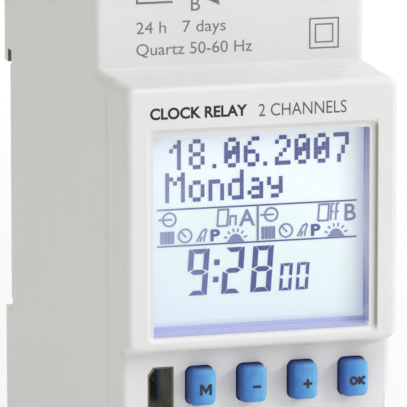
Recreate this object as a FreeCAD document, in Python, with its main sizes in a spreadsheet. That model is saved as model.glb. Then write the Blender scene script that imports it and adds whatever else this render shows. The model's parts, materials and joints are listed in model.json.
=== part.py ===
"""Two-module time switch for a 35 mm rail, as separate pieces.

Frame: X across the front to the right, Y back towards the rail, Z up. Y = 0 is the plane
where the base rests on the rail, and Z = 0 is the middle of the rail. Millimetres.
Distances called "depth" are measured forwards from the rail plane, so they lie at -Y.
"""
import FreeCAD, Part
import math
import os
import re
import Sketcher

# ---------------------------------------------------------------- driving sizes
SIZES = dict(
    # enclosure
    body_wide=35.8,
    body_tall=90.0,
    raised_tall=45.0,
    rear_depth=3.1,
    shoulder_depth=44.9,
    seam_depth=51.0,
    strip_depth=57.0,
    face_depth=60.0,
    wall=1.6,
    cap_wide=35.5,
    cap_tall=44.8,
    cap_front_wall=1.8,
    corner_round=1.3,
    edge_round=0.9,
    lap_deep=2.5,
    lap_wall=0.8,
    slack=0.1,
    # rail recess
    rail_tall=35.0,
    rail_thick=1.0,
    lip_over=1.8,
    seat_half=16.0,
    seat_step=0.6,
    # display section and button strip, as heights from the middle
    display_low=-11.1,
    strip_high=-12.1,
    # window in the display section: a bevel, a narrow ledge, then the opening
    window_half=15.1,
    window_top=17.1,
    window_low=-10.15,
    window_round=1.0,
    bevel_wide=0.45,
    ledge_deep=0.5,
    ledge_wide=0.5,
    opening_round=0.3,
    # buttons
    button_wide=3.4,
    button_tall=4.7,
    button_first=-7.54,
    button_pitch=6.71,
    button_level=-16.4,
    button_out=2.2,
    button_gap=0.15,
    button_round=0.9,
    button_rim=0.65,
    button_flange=0.5,
    flange_thick=0.8,
    flange_play=0.2,
    stem_depth=53.4,
    plunger_radius=1.3,
    plunger_long=1.1,
    switch_half=2.2,
    switch_tall=1.6,
    well_deep=1.0,
    # notches for prising the cover off
    notch_wide=0.9,
    notch_deep=2.0,
    notch_high=-18.9,
    notch_low=-21.3,
    # card slot
    slot_middle=-12.56,
    slot_wide=3.4,
    slot_top=-13.85,
    slot_low=-20.0,
    slot_key_wide=0.7,
    slot_key_tall=1.0,
    socket_wall=0.6,
    socket_deep=14.0,
    collar_wall=0.25,
    collar_set=0.1,
    leaf_front=7.6,
    leaf_back=13.0,
    leaf_first=1.1,
    leaf_half=0.3,
    leaf_pitch=1.0,
    leaf_thick=0.28,
    # display stack
    lens_step=0.9,
    lens_flange=0.6,
    lens_gap=0.15,
    panel_depth=57.35,
    panel_thick=2.2,
    panel_half=15.6,
    panel_top=17.2,
    panel_low=-10.15,
    panel_ledge=0.9,
    frame_wall=0.4,
    frame_floor=0.6,
    guide_thick=3.0,
    guide_half=14.6,
    strip_thick=1.3,
    fit=0.05,
    hair=0.02,
    board_thick=1.6,
    board_half=15.9,
    display_board_depth=51.05,
    display_board_tall=20.4,
    display_board_corner=-9.9,
    # parts on the display board
    chip_left=3.0,
    chip_low=6.0,
    chip_side=10.0,
    chip_thick=1.4,
    cell_level=-8.0,
    cell_radius=10.0,
    cell_rim_radius=8.6,
    cell_thick=2.4,
    cell_rim_thick=3.2,
    cell_tab_half=1.5,
    cell_tab_thick=0.3,
    cell_tab_reach=11.5,
    # power board and its loose parts
    power_board_depth=8.0,
    power_board_half=30.6,
    link_half=8.0,
    link_level=17.0,
    film_left=-14.0,
    film_wide=14.0,
    film_level=19.2,
    film_tall=9.2,
    film_depth=23.0,
    tin_radius=4.2,
    tin_depth=20.5,
    tin_level=-22.0,
    tin_left=-8.0,
    tin_right=3.0,
    disc_x=8.5,
    disc_depth=16.0,
    disc_level=22.0,
    disc_radius=5.0,
    disc_thick=3.6,
    lead_spread=2.5,
    lead_radius=0.4,
    lead_top=13.0,
    # terminals
    terminal_pitch=8.0,
    screw_level=37.2,
    screw_hole=2.4,
    head_radius=2.6,
    head_tall=2.2,
    shank_radius=1.75,
    thread_play=0.05,
    cage_half=3.4,
    cage_wall=0.8,
    cage_top_wall=2.0,
    cage_jaw=1.4,
    cage_long=7.6,
    clamp_gap=4.5,
    bar_depth=26.8,
    bar_thick=1.2,
    bar_wide=5.0,
    bar_leg=29.0,
    block_low=31.2,
    block_wall=1.2,
    entry_wide=5.4,
    drive_half=0.4,
    drive_cross=1.5,
    drive_deep=1.1,
    head_rim=0.25,
    # relays
    relay_middle=6.8,
    relay_wide=12.7,
    relay_long=29.0,
    relay_tall=15.7,
    relay_wall=0.8,
    relay_foot=2.0,
    coil_depth=16.6,
    coil_radius=4.6,
    coil_low=-11.5,
    coil_long=14.5,
    coil_flange=0.8,
    coil_flange_wide=0.5,
    core_radius=2.0,
    core_low=-12.0,
    core_high=3.9,
    yoke_half=4.5,
    yoke_depth=22.6,
    yoke_thick=0.8,
    yoke_low=-12.8,
    yoke_end=1.1,
    yoke_high=4.5,
    armature_half=4.2,
    armature_front=22.4,
    armature_back=13.0,
    armature_low=4.9,
    armature_thick=1.0,
    armature_edge=0.35,
    armature_edge_half=4.0,
    arm_half=1.5,
    arm_back=20.3,
    arm_thick=0.4,
    arm_low=5.5,
    arm_high=12.4,
    tip_level=11.3,
    tip_depth=21.2,
    tip_radius=1.0,
    tip_thick=1.6,
    pad_low=10.4,
    pad_thick=0.6,
    open_pad_depth=18.9,
    open_post=12.4,
    closed_pad_depth=21.95,
    closed_post=13.1,
    post_half=2.5,
    post_thick=0.5,
    # latch
    latch_wide=9.0,
    latch_tongue=1.5,
    latch_set=0.8,
    latch_deep=2.1,
    latch_foot=3.5,
    latch_nose=2.0,
    latch_cover=1.2,
    latch_gap=0.2,
    tongue_set=1.7,
    tongue_low=-39.8,
    tongue_high=-19.0,
    tool_slot_half=2.5,
    tool_slot_low=2.3,
    tool_slot_high=0.9,
    spring_radius=0.75,
    spring_wire=0.14,
    spring_pitch=0.9,
    spring_low=-34.9,
    spring_long=10.7,
    spring_room_half=1.3,
    spring_room_low=-37.0,
    spring_room_high=-24.0,
    lug_half=1.1,
    lug_low=-36.7,
    lug_high=-35.2,
    lug_depth=2.7,
    # posts between the base plate and the power board
    post_radius=2.0,
    post_side=13.0,
    post_level=27.0,
)
SIZES["half_wide"] = SIZES["body_wide"] / 2
SIZES["half_tall"] = SIZES["body_tall"] / 2
SIZES["neck_half"] = SIZES["raised_tall"] / 2
SIZES["inner_half"] = SIZES["half_wide"] - SIZES["wall"] - SIZES["slack"]
SIZES["cap_half"] = SIZES["cap_wide"] / 2
SIZES["cap_top"] = SIZES["cap_tall"] / 2
SIZES["cap_inner"] = SIZES["cap_half"] - SIZES["wall"]
SIZES["hook_top"] = SIZES["rail_tall"] / 2 + 0.5
SIZES["hook_low"] = SIZES["hook_top"] - SIZES["lip_over"]
SIZES["hook_gap"] = SIZES["rail_thick"] + 0.3
SIZES["catch_level"] = -SIZES["rail_tall"] / 2 - 0.1
SIZES["screw_tip"] = SIZES["bar_depth"] + SIZES["bar_thick"] + 0.05
SIZES["head_depth"] = SIZES["shoulder_depth"] - SIZES["wall"] - 0.4
SIZES["cage_back"] = SIZES["bar_depth"] - SIZES["clamp_gap"] - SIZES["cage_jaw"]
SIZES["cage_front"] = SIZES["screw_tip"] + 1.0 + SIZES["cage_top_wall"]
SIZES["board_back"] = SIZES["display_board_depth"] - SIZES["board_thick"]
SIZES["strip_inner"] = SIZES["strip_depth"] - SIZES["wall"]
SIZES["panel_back"] = SIZES["panel_depth"] - SIZES["panel_thick"]
SIZES["guide_low"] = SIZES["panel_low"] + SIZES["strip_thick"] + 0.45
SIZES["guide_high"] = SIZES["panel_top"] - SIZES["strip_thick"] - 0.45
SIZES["ledge_half"] = SIZES["window_half"] - SIZES["bevel_wide"]
SIZES["ledge_top"] = SIZES["window_top"] - SIZES["bevel_wide"]
SIZES["ledge_low"] = SIZES["window_low"] + SIZES["bevel_wide"]
SIZES["opening_half"] = SIZES["ledge_half"] - SIZES["ledge_wide"]
SIZES["opening_top"] = SIZES["ledge_top"] - SIZES["ledge_wide"]
SIZES["opening_low"] = SIZES["ledge_low"] + SIZES["ledge_wide"]
SIZES["socket_back"] = SIZES["strip_inner"] - SIZES["socket_deep"]

BUTTONS = ("menu", "minus", "plus", "ok")
TERMINALS_IN_ROW = 4
TINY = 0.01

doc = FreeCAD.newDocument("TimeSwitch")
sheet = doc.addObject("Spreadsheet::Sheet", "Dims")
nodes = []


def fill_sheet():
    """Put every size in its own named cell."""
    for row, (alias, value) in enumerate(SIZES.items(), start=1):
        sheet.set(f"A{row}", alias.replace("_", " "))
        sheet.set(f"B{row}", f"{value:.6g}")
        sheet.setAlias(f"B{row}", alias)
    doc.recompute()


# ---------------------------------------------------------------- small helpers
def bind(thing, name, formula):
    """Tie a property to the sheet; words in the formula are the sheet's aliases."""
    thing.setExpression(name, re.sub(r"[a-z][a-z_]+", lambda word: "Dims." + word.group(), formula))


def keep(thing, label):
    """Mark an object as one finished piece."""
    thing.Label = label
    nodes.append(thing)
    return thing


def new_body(label):
    return keep(doc.addObject("PartDesign::Body", label + "_body"), label)


def origin_plane(body, role):
    return next(plane for plane in body.Origin.OriginFeatures if plane.Role == role)


def rectangle(left, right, low, high):
    return [(left, low), (right, low), (right, high), (left, high)]


def box_about(x, y, wide, tall):
    """A rectangle centred on x, y."""
    return rectangle(f"{x} - ({wide}) / 2", f"{x} + ({wide}) / 2",
                     f"{y} - ({tall}) / 2", f"{y} + ({tall}) / 2")


def draw_polygon(sketch, points):
    """Closed straight-sided outline; every corner is dimensioned from the origin."""
    first = sketch.GeometryCount
    count = len(points)
    start = [FreeCAD.Vector(10 * math.cos(2 * math.pi * i / count), 10 * math.sin(2 * math.pi * i / count), 0)
             for i in range(count)]
    for i in range(count):
        sketch.addGeometry(Part.LineSegment(start[i], start[(i + 1) % count]))
    for i in range(count):
        sketch.addConstraint(Sketcher.Constraint("Coincident", first + i, 2, first + (i + 1) % count, 1))
    for i, (x, y) in enumerate(points):
        for kind, formula, value in (("DistanceX", x, start[i].x), ("DistanceY", y, start[i].y)):
            index = sketch.addConstraint(Sketcher.Constraint(kind, -1, 1, first + i, 1, value))
            bind(sketch, f"Constraints[{index}]", formula)


def draw_circle(sketch, x, y, radius):
    index = sketch.addGeometry(Part.Circle(FreeCAD.Vector(1, 1, 0), FreeCAD.Vector(0, 0, 1), 1))
    for kind, formula in (("DistanceX", x), ("DistanceY", y)):
        number = sketch.addConstraint(Sketcher.Constraint(kind, -1, 1, index, 3, 1.0))
        bind(sketch, f"Constraints[{number}]", formula)
    number = sketch.addConstraint(Sketcher.Constraint("Radius", index, 1.0))
    bind(sketch, f"Constraints[{number}]", radius)


def new_sketch(body, name, plane, shapes, offset):
    sketch = body.newObject("Sketcher::SketchObject", name + "_outline")
    sketch.AttachmentSupport = [(origin_plane(body, plane), "")]
    sketch.MapMode = "FlatFace"
    bind(sketch, "AttachmentOffset.Base.z", offset)
    for shape in shapes:
        if isinstance(shape, list):
            draw_polygon(sketch, shape)
        else:
            draw_circle(sketch, *shape)
    return sketch


def extrude(body, name, plane, shapes, low, high, cut=False):
    """Add or cut outlines between two distances along the plane's normal.

    XZ_Plane faces forwards, so its distances are depths. YZ_Plane faces +X.
    """
    base = body.Tip
    sketch = new_sketch(body, name, plane, shapes, low)
    feature = body.newObject("PartDesign::Pocket" if cut else "PartDesign::Pad", name)
    feature.Profile = sketch
    feature.Reversed = cut
    bind(feature, "Length", f"({high}) - ({low})")
    body.Tip = feature
    if cut:
        doc.recompute()
        if feature.Shape.Volume > base.Shape.Volume - TINY:
            raise RuntimeError(f"{name} cuts nothing")
    return feature


def dress(body, name, kind, size, chosen):
    """Round or chamfer the edges that the chosen() test picks."""
    doc.recompute()
    base = body.Tip
    edges = [f"Edge{i}" for i, edge in enumerate(base.Shape.Edges, start=1) if chosen(edge.BoundBox)]
    if not edges:
        raise RuntimeError(f"{name} finds no edges")
    feature = body.newObject(f"PartDesign::{kind}", name)
    feature.Base = (base, edges)
    bind(feature, "Radius" if kind == "Fillet" else "Size", size)
    body.Tip = feature
    return feature


def near(value, target):
    return abs(value - target) < TINY


def flat(low, high, target):
    """True if both ends of a span lie on the target."""
    return near(low, target) and near(high, target)


def repeat(body, name, feature, axis, length, count):
    """Repeat a feature in a row along one of the body's own axes."""
    pattern = body.newObject("PartDesign::LinearPattern", name)
    pattern.Originals = [feature]
    line = next(item for item in body.Origin.OriginFeatures if item.Role == axis)
    pattern.Direction = (line, [""])
    bind(pattern, "Length", length)
    pattern.Occurrences = count
    body.Tip = pattern
    return pattern


def block(name, x, y, z):
    """Part::Box between (low, high) pairs of formulas."""
    box = doc.addObject("Part::Box", name)
    for side, axis, (low, high) in (("Length", "x", x), ("Width", "y", y), ("Height", "z", z)):
        bind(box, side, f"({high}) - ({low})")
        bind(box, f"Placement.Base.{axis}", low)
    return box


AXIS_TURNS = {
    "x": FreeCAD.Rotation(FreeCAD.Vector(0, 1, 0), 90),
    "y": FreeCAD.Rotation(FreeCAD.Vector(1, 0, 0), -90),
    "z": FreeCAD.Rotation(),
}


def rod(name, axis, start, radius, length):
    """Part::Cylinder that starts at a point and runs along +axis."""
    cylinder = doc.addObject("Part::Cylinder", name)
    cylinder.Placement = FreeCAD.Placement(FreeCAD.Vector(), AXIS_TURNS[axis])
    for direction, formula in zip("xyz", start):
        bind(cylinder, f"Placement.Base.{direction}", formula)
    bind(cylinder, "Radius", radius)
    bind(cylinder, "Height", length)
    return cylinder


def fuse(name, shapes):
    joined = doc.addObject("Part::MultiFuse", name)
    joined.Shapes = shapes
    return joined


def cut(name, base, tool):
    result = doc.addObject("Part::Cut", name)
    result.Base = base
    result.Tool = tool
    return result


def group(name, shapes):
    """Separate solids of one kind in one piece."""
    bundle = doc.addObject("Part::Compound", name)
    bundle.Links = shapes
    return bundle


# ---------------------------------------------------------------- enclosure
def rear_outline():
    """Rail side of the casing, from below the catch up to the hook, as (Y, Z).

    The seat lies between the two lips; behind them the recess is one step deeper.
    """
    return [
        ("rear_depth", "catch_level"),
        ("-seat_step", "catch_level"),
        ("-seat_step", "-seat_half"),
        ("0", "-seat_half"),
        ("0", "seat_half"),
        ("-seat_step", "seat_half"),
        ("-seat_step", "hook_top"),
        ("hook_gap", "hook_top"),
        ("hook_gap", "hook_low"),
        ("rear_depth", "hook_low"),
    ]


def make_housing():
    """Moulded casing: two side walls, both terminal shoulders and the neck of the raised part."""
    body = new_body("housing")
    outline = rear_outline() + [
        ("rear_depth", "half_tall"),
        ("-shoulder_depth", "half_tall"),
        ("-shoulder_depth", "neck_half"),
        ("-seam_depth", "neck_half"),
        ("-seam_depth", "-neck_half"),
        ("-shoulder_depth", "-neck_half"),
        ("-shoulder_depth", "-half_tall"),
        ("rear_depth", "-half_tall"),
    ]
    extrude(body, "casing", "YZ_Plane", [outline], "-half_wide", "half_wide")
    side = SIZES["half_wide"]
    levels = (SIZES["half_tall"], SIZES["neck_half"])

    def runs_back(box):
        on_side = flat(box.XMin, box.XMax, side) or flat(box.XMin, box.XMax, -side)
        return on_side and any(flat(abs(box.ZMin), abs(box.ZMax), level) for level in levels)

    dress(body, "casing_corners", "Fillet", "corner_round", runs_back)
    front = -SIZES["shoulder_depth"]
    inner_edge = SIZES["neck_half"] + TINY

    def shoulder_rim(box):
        return flat(box.YMin, box.YMax, front) and max(abs(box.ZMin), abs(box.ZMax)) > inner_edge

    dress(body, "shoulder_edges", "Fillet", "edge_round", shoulder_rim)
    hollow = [
        ("rear_depth + wall", "half_tall - wall"),
        ("-shoulder_depth + wall", "half_tall - wall"),
        ("-shoulder_depth + wall", "neck_half - wall"),
        ("-seam_depth - wall", "neck_half - wall"),
        ("-seam_depth - wall", "wall - neck_half"),
        ("-shoulder_depth + wall", "wall - neck_half"),
        ("-shoulder_depth + wall", "wall - half_tall"),
        ("rear_depth + wall", "wall - half_tall"),
    ]
    extrude(body, "hollow", "YZ_Plane", [hollow], "wall - half_wide", "half_wide - wall", cut=True)
    lap = rectangle("lap_wall - half_wide", "half_wide - lap_wall",
                    "lap_wall - neck_half", "neck_half - lap_wall")
    extrude(body, "lap_step", "XZ_Plane", [lap], "seam_depth - lap_deep", "seam_depth + wall", cut=True)
    first = "-1.5 * terminal_pitch"
    row = f"{TERMINALS_IN_ROW - 1} * terminal_pitch"
    entry = rectangle(f"{first} - entry_wide / 2", f"{first} + entry_wide / 2",
                      "-bar_depth - slack", "clamp_gap - bar_depth")
    entries = extrude(body, "wire_entry", "XY_Plane", [entry],
                      "-half_tall - wall", "half_tall + wall", cut=True)
    repeat(body, "wire_entries", entries, "X_Axis", row, TERMINALS_IN_ROW)
    circles = [(first, "screw_level", "screw_hole"), (first, "-screw_level", "screw_hole")]
    holes = extrude(body, "screw_hole_pair", "XZ_Plane", circles,
                    "shoulder_depth - 2 * wall", "shoulder_depth + wall", cut=True)
    repeat(body, "screw_holes", holes, "X_Axis", row, TERMINALS_IN_ROW)
    notch = rectangle("-latch_wide / 2 - latch_gap", "latch_wide / 2 + latch_gap",
                      "latch_set - latch_gap", "rear_depth + wall")
    extrude(body, "latch_notch", "XY_Plane", [notch], "-half_tall - wall", "2 * wall - half_tall", cut=True)


def make_base_plate():
    """Rear wall between the casing's sides, with the fixed hook, the latch guide and board posts."""
    body = new_body("base_plate")
    outline = rear_outline() + [
        ("rear_depth", "half_tall - wall - slack"),
        ("rear_depth - wall", "half_tall - wall - slack"),
        ("rear_depth - wall", "hook_top + wall"),
        ("-wall", "hook_top + wall"),
        ("-wall", "wall + slack - half_tall"),
        ("rear_depth", "wall + slack - half_tall"),
    ]
    extrude(body, "plate", "YZ_Plane", [outline], "-inner_half", "inner_half")
    posts = [(x, z, "post_radius") for x in ("-post_side", "post_side") for z in ("-post_level", "post_level")]
    extrude(body, "board_posts", "XZ_Plane", posts,
            "-rear_depth + wall / 2", "power_board_depth - board_thick - fit")
    tongue = rectangle("-latch_wide / 2 - latch_tongue - latch_gap", "latch_wide / 2 + latch_tongue + latch_gap",
                       "-half_tall", "catch_level + wall")
    extrude(body, "tongue_groove", "XZ_Plane", [tongue],
            "-tongue_set - latch_gap", "latch_gap - latch_set", cut=True)
    neck = rectangle("-latch_wide / 2 - latch_gap", "latch_wide / 2 + latch_gap",
                     "-half_tall", "catch_level + wall")
    extrude(body, "latch_way", "XZ_Plane", [neck], "-rear_depth - wall", "-tongue_set", cut=True)
    lug = rectangle("-lug_half", "lug_half", "lug_low", "lug_high")
    extrude(body, "spring_lug", "XZ_Plane", [lug], "-lug_depth", "0")


def cap_outline():
    """Side view of the front cover, as (Y, Z)."""
    return [
        ("-seam_depth", "cap_top"),
        ("-face_depth", "cap_top"),
        ("-face_depth", "display_low"),
        ("-strip_depth", "strip_high"),
        ("-strip_depth", "-cap_top"),
        ("-seam_depth", "-cap_top"),
    ]


def make_front_cover():
    """Snap-on front: display section above, lower button strip below."""
    body = new_body("front_cover")
    extrude(body, "cover", "YZ_Plane", [cap_outline()], "-cap_half", "cap_half")
    side = SIZES["cap_half"]
    seam = -SIZES["seam_depth"]
    face = -SIZES["face_depth"]
    strip = -SIZES["strip_depth"]

    def runs_back(box):
        on_side = flat(box.XMin, box.XMax, side) or flat(box.XMin, box.XMax, -side)
        return on_side and box.YLength > 1

    dress(body, "cover_corners", "Fillet", "corner_round", runs_back)

    def front_rim(box):
        on_face = flat(box.YMin, box.YMax, face)
        on_strip = flat(box.YMin, box.YMax, strip) and box.ZMin < SIZES["strip_high"] - TINY
        return (on_face or on_strip) and not near(box.YMin, seam)

    dress(body, "cover_edges", "Fillet", "edge_round", front_rim)
    hollow = [
        ("wall - seam_depth", "cap_top - wall"),
        ("cap_front_wall - face_depth", "cap_top - wall"),
        ("cap_front_wall - face_depth", "display_low + wall / 2"),
        ("wall - strip_depth", "strip_high + wall / 2"),
        ("wall - strip_depth", "wall - cap_top"),
        ("wall - seam_depth", "wall - cap_top"),
    ]
    extrude(body, "cover_hollow", "YZ_Plane", [hollow], "-cap_inner", "cap_inner", cut=True)
    outer = rectangle("slack + lap_wall - half_wide", "half_wide - lap_wall - slack",
                      "slack + lap_wall - neck_half", "neck_half - lap_wall - slack")
    inner = rectangle("-cap_inner", "cap_inner", "wall - cap_top", "cap_top - wall")
    extrude(body, "skirt", "XZ_Plane", [outer, inner],
            "seam_depth - lap_deep + 2 * slack", "seam_depth + wall / 2")
    cut_strip(body)
    cut_window(body)


def slot_outline(inset):
    """Card slot with one corner cut off, so that a card goes in only one way round."""
    left = f"slot_middle - slot_wide / 2 + {inset}"
    right = f"slot_middle + slot_wide / 2 - {inset}"
    low, top = f"slot_low + {inset}", f"slot_top - {inset}"
    return [(left, low), (right, low), (right, top),
            (f"{left} + slot_key_wide", top), (left, f"{top} - slot_key_tall")]


def cut_strip(body):
    """Button holes, card slot and pry notches in the button strip."""
    x = "button_first"
    hole = box_about(x, "button_level", "button_wide + 2 * button_gap", "button_tall + 2 * button_gap")
    first = extrude(body, "button_hole", "XZ_Plane", [hole], "seam_depth", "strip_depth + wall", cut=True)
    repeat(body, "button_holes", first, "X_Axis", "3 * button_pitch", len(BUTTONS))
    extrude(body, "card_slot", "XZ_Plane", [slot_outline("0")], "seam_depth", "strip_depth + wall", cut=True)
    notches = [rectangle(*sides, "notch_low", "notch_high") for sides in
               (("-cap_half - wall", "notch_wide - cap_half"), ("cap_half - notch_wide", "cap_half + wall"))]
    extrude(body, "pry_notches", "XZ_Plane", notches,
            "strip_depth - notch_deep", "strip_depth + wall", cut=True)
    strip = SIZES["strip_depth"]
    hole_half = SIZES["button_wide"] / 2 + SIZES["button_gap"]
    centres = [SIZES["button_first"] + i * SIZES["button_pitch"] for i in range(len(BUTTONS))]

    def hole_corner(box):
        at_button = any(near(abs(box.XMin - centre), hole_half) for centre in centres)
        upright = box.XLength < TINY and box.ZLength < TINY
        return upright and at_button and near(box.YMin, -strip)

    dress(body, "hole_corners", "Fillet", "button_round", hole_corner)


def cut_window(body):
    """Opening for the clear window, with a narrow ledge and a bevelled rim round it."""
    ledge = rectangle("-ledge_half", "ledge_half", "ledge_low", "ledge_top")
    extrude(body, "window_ledge", "XZ_Plane", [ledge], "face_depth - ledge_deep", "face_depth + wall", cut=True)
    opening = rectangle("-opening_half", "opening_half", "opening_low", "opening_top")
    extrude(body, "window", "XZ_Plane", [opening], "seam_depth", "face_depth", cut=True)
    face = -SIZES["face_depth"]

    def corner_at(x, y):
        def chosen(box):
            upright = box.XLength < TINY and box.ZLength < TINY
            return upright and near(abs(box.XMin), x) and near(box.YMin, y)
        return chosen

    dress(body, "ledge_corners", "Fillet", "window_round - bevel_wide", corner_at(SIZES["ledge_half"], face))
    dress(body, "opening_corners", "Fillet", "opening_round",
          corner_at(SIZES["opening_half"], face + SIZES["ledge_deep"]))

    def window_rim(box):
        inside = max(abs(box.XMin), abs(box.XMax)) < SIZES["ledge_half"] + TINY
        return inside and flat(box.YMin, box.YMax, face)

    dress(body, "window_bevel", "Chamfer", "bevel_wide", window_rim)


# ---------------------------------------------------------------- rail latch
def make_latch():
    """Sliding foot that holds the rail's lower edge, with a window for its return spring."""
    body = new_body("rail_latch")
    half = "latch_wide / 2"
    wide = f"{half} + latch_tongue"
    front = "-latch_set"
    back = "-latch_set - latch_deep"
    plate = rectangle(f"-({half})", half, "-half_tall - latch_foot", "catch_level - slack")
    extrude(body, "foot_plate", "XZ_Plane", [plate], back, front)
    tongue = rectangle(f"-({wide})", wide, "tongue_low", "tongue_high")
    extrude(body, "tongues", "XZ_Plane", [tongue], "-tongue_set", front)
    nose = [("hook_gap", "catch_level - latch_nose"), ("latch_set + latch_deep", "catch_level - latch_nose"),
            ("latch_set + latch_deep", "catch_level"), ("hook_gap", "catch_level + latch_cover")]
    extrude(body, "nose", "YZ_Plane", [nose], f"-({half})", half)
    room = rectangle("-spring_room_half", "spring_room_half", "spring_room_low", "spring_room_high")
    extrude(body, "spring_room", "XZ_Plane", [room], "-rear_depth - wall", "wall", cut=True)
    pull = rectangle("-tool_slot_half", "tool_slot_half",
                     "-half_tall - tool_slot_low", "-half_tall - tool_slot_high")
    extrude(body, "tool_slot", "XZ_Plane", [pull], "-rear_depth - wall", "wall", cut=True)


def make_latch_spring():
    """Fine compression spring between the base plate's lug and the top of the latch window."""
    helix = doc.addObject("Part::Helix", "spring_line")
    bind(helix, "Radius", "spring_radius")
    bind(helix, "Pitch", "spring_pitch")
    bind(helix, "Height", "spring_long - spring_wire")
    wire = doc.addObject("Part::Circle", "spring_section")
    bind(wire, "Radius", "spring_wire")
    wire.Placement = FreeCAD.Placement(FreeCAD.Vector(), FreeCAD.Rotation(FreeCAD.Vector(1, 0, 0), 90))
    bind(wire, "Placement.Base.x", "spring_radius")
    sweep = doc.addObject("Part::Sweep", "latch_spring_coil")
    sweep.Sections = [wire]
    sweep.Spine = (helix, ["Edge1"])
    sweep.Solid = True
    sweep.Frenet = True
    bind(sweep, "Placement.Base.y", "latch_set + latch_deep / 2")
    bind(sweep, "Placement.Base.z", "spring_low")
    keep(sweep, "latch_spring")


# ---------------------------------------------------------------- display and controls
def make_display_window():
    """Clear cover: a flange behind the front wall and a step that fills the opening."""
    body = new_body("display_window")
    flange = rectangle("-opening_half - lens_flange", "opening_half + lens_flange",
                       "opening_low - lens_flange", "opening_top + lens_flange")
    extrude(body, "flange", "XZ_Plane", [flange], "panel_depth + lens_gap", "face_depth - cap_front_wall - fit")
    step = rectangle("fit - opening_half", "opening_half - fit", "opening_low + fit", "opening_top - fit")
    extrude(body, "step", "XZ_Plane", [step], "panel_depth + lens_gap", "face_depth - lens_step")

    front = SIZES["lens_step"] - SIZES["face_depth"]

    def corner(box):
        return box.XLength < TINY and box.ZLength < TINY and near(box.YMin, front)

    dress(body, "lens_corners", "Fillet", "opening_round", corner)


def make_lcd_panel():
    """Two bonded glass plates; the rear one is taller and carries the contact ledges."""
    half = ("-panel_half", "panel_half")
    front = block("front_glass", half, ("-panel_depth", "panel_thick / 2 - panel_depth"),
                  ("panel_low + panel_ledge", "panel_top - panel_ledge"))
    rear = block("rear_glass", half, ("panel_thick / 2 - panel_depth", "-panel_back"),
                 ("panel_low", "panel_top"))
    keep(fuse("panel_glass", [front, rear]), "lcd_panel")


def make_display_frame():
    """Moulded frame that holds the glass, the light guide and the contact strips on the board."""
    body = new_body("display_frame")
    outer = rectangle("-board_half", "board_half", "panel_low - frame_wall", "panel_top + frame_wall")
    inner = rectangle("-panel_half - fit", "panel_half + fit", "panel_low - fit", "panel_top + fit")
    extrude(body, "frame_sides", "XZ_Plane", [outer, inner], "display_board_depth", "panel_depth")
    guide = rectangle("-guide_half - 2 * slack", "guide_half + 2 * slack",
                      "guide_low - slack", "guide_high + slack")
    extrude(body, "frame_base", "XZ_Plane", [inner, guide],
            "display_board_depth", "display_board_depth + frame_floor")


def make_display_inside():
    """Light guide and the two elastomer strips that join the glass to its board."""
    guide = block("guide_plate", ("-guide_half", "guide_half"),
                  ("fit - panel_back", "fit + guide_thick - panel_back"), ("guide_low", "guide_high"))
    keep(guide, "light_guide")
    spans = (("panel_low + slack", "panel_low + strip_thick"), ("panel_top - strip_thick", "panel_top - slack"))
    reach = ("hair - panel_back", "-display_board_depth - frame_floor - hair")
    strips = [block(f"contact_strip_{i}", ("slack - guide_half", "guide_half - slack"), reach, span)
              for i, span in enumerate(spans)]
    keep(group("strip_pair", strips), "contact_strips")


def make_display_board():
    """Circuit board behind the display, cut away at one corner for the card socket."""
    board = block("display_board_plate", ("-board_half", "board_half"),
                  ("-display_board_depth", "-board_back"), ("-display_board_tall", "display_board_tall"))
    corner = block("board_corner", ("-board_half - 1", "display_board_corner"),
                   ("-display_board_depth - 1", "1 - board_back"), ("-display_board_tall - 1", "slot_top + 1"))
    keep(cut("display_board_cut", board, corner), "display_board")


def make_board_parts():
    """Controller chip and backup cell on the rear of the display board."""
    chip = block("chip_package", ("chip_left", "chip_left + chip_side"),
                 ("fit - board_back", "fit + chip_thick - board_back"), ("chip_low", "chip_low + chip_side"))
    keep(chip, "control_chip")
    seat = ("0", "cell_tab_thick - board_back", "cell_level")
    cell = fuse("cell_parts", [
        rod("cell_can", "y", seat, "cell_radius", "cell_thick"),
        rod("cell_cap", "y", seat, "cell_rim_radius", "cell_rim_thick"),
        block("cell_tab", ("-cell_tab_half", "cell_tab_half"),
              ("hair - board_back", "hair + cell_tab_thick - board_back"),
              ("cell_level - cell_tab_reach", "cell_level + cell_tab_reach")),
    ])
    keep(cell, "backup_cell")


def button_x(index):
    return f"button_first + {index} * button_pitch"


def make_tact_switches():
    """Four identical switch bodies, each open at the front for its plunger."""
    bodies = []
    for index in range(len(BUTTONS)):
        x = button_x(index)
        case = block(f"switch_case_{index}", (f"{x} - switch_half", f"{x} + switch_half"),
                     ("-display_board_depth - switch_tall", "-display_board_depth"),
                     ("button_level - switch_half", "button_level + switch_half"))
        well = rod(f"switch_well_{index}", "y", (x, "-display_board_depth - 2 * switch_tall", "button_level"),
                   "plunger_radius + slack", "switch_tall + well_deep")
        bodies.append(cut(f"switch_{index}", case, well))
    keep(group("switch_bodies", bodies), "tact_switches")


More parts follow.
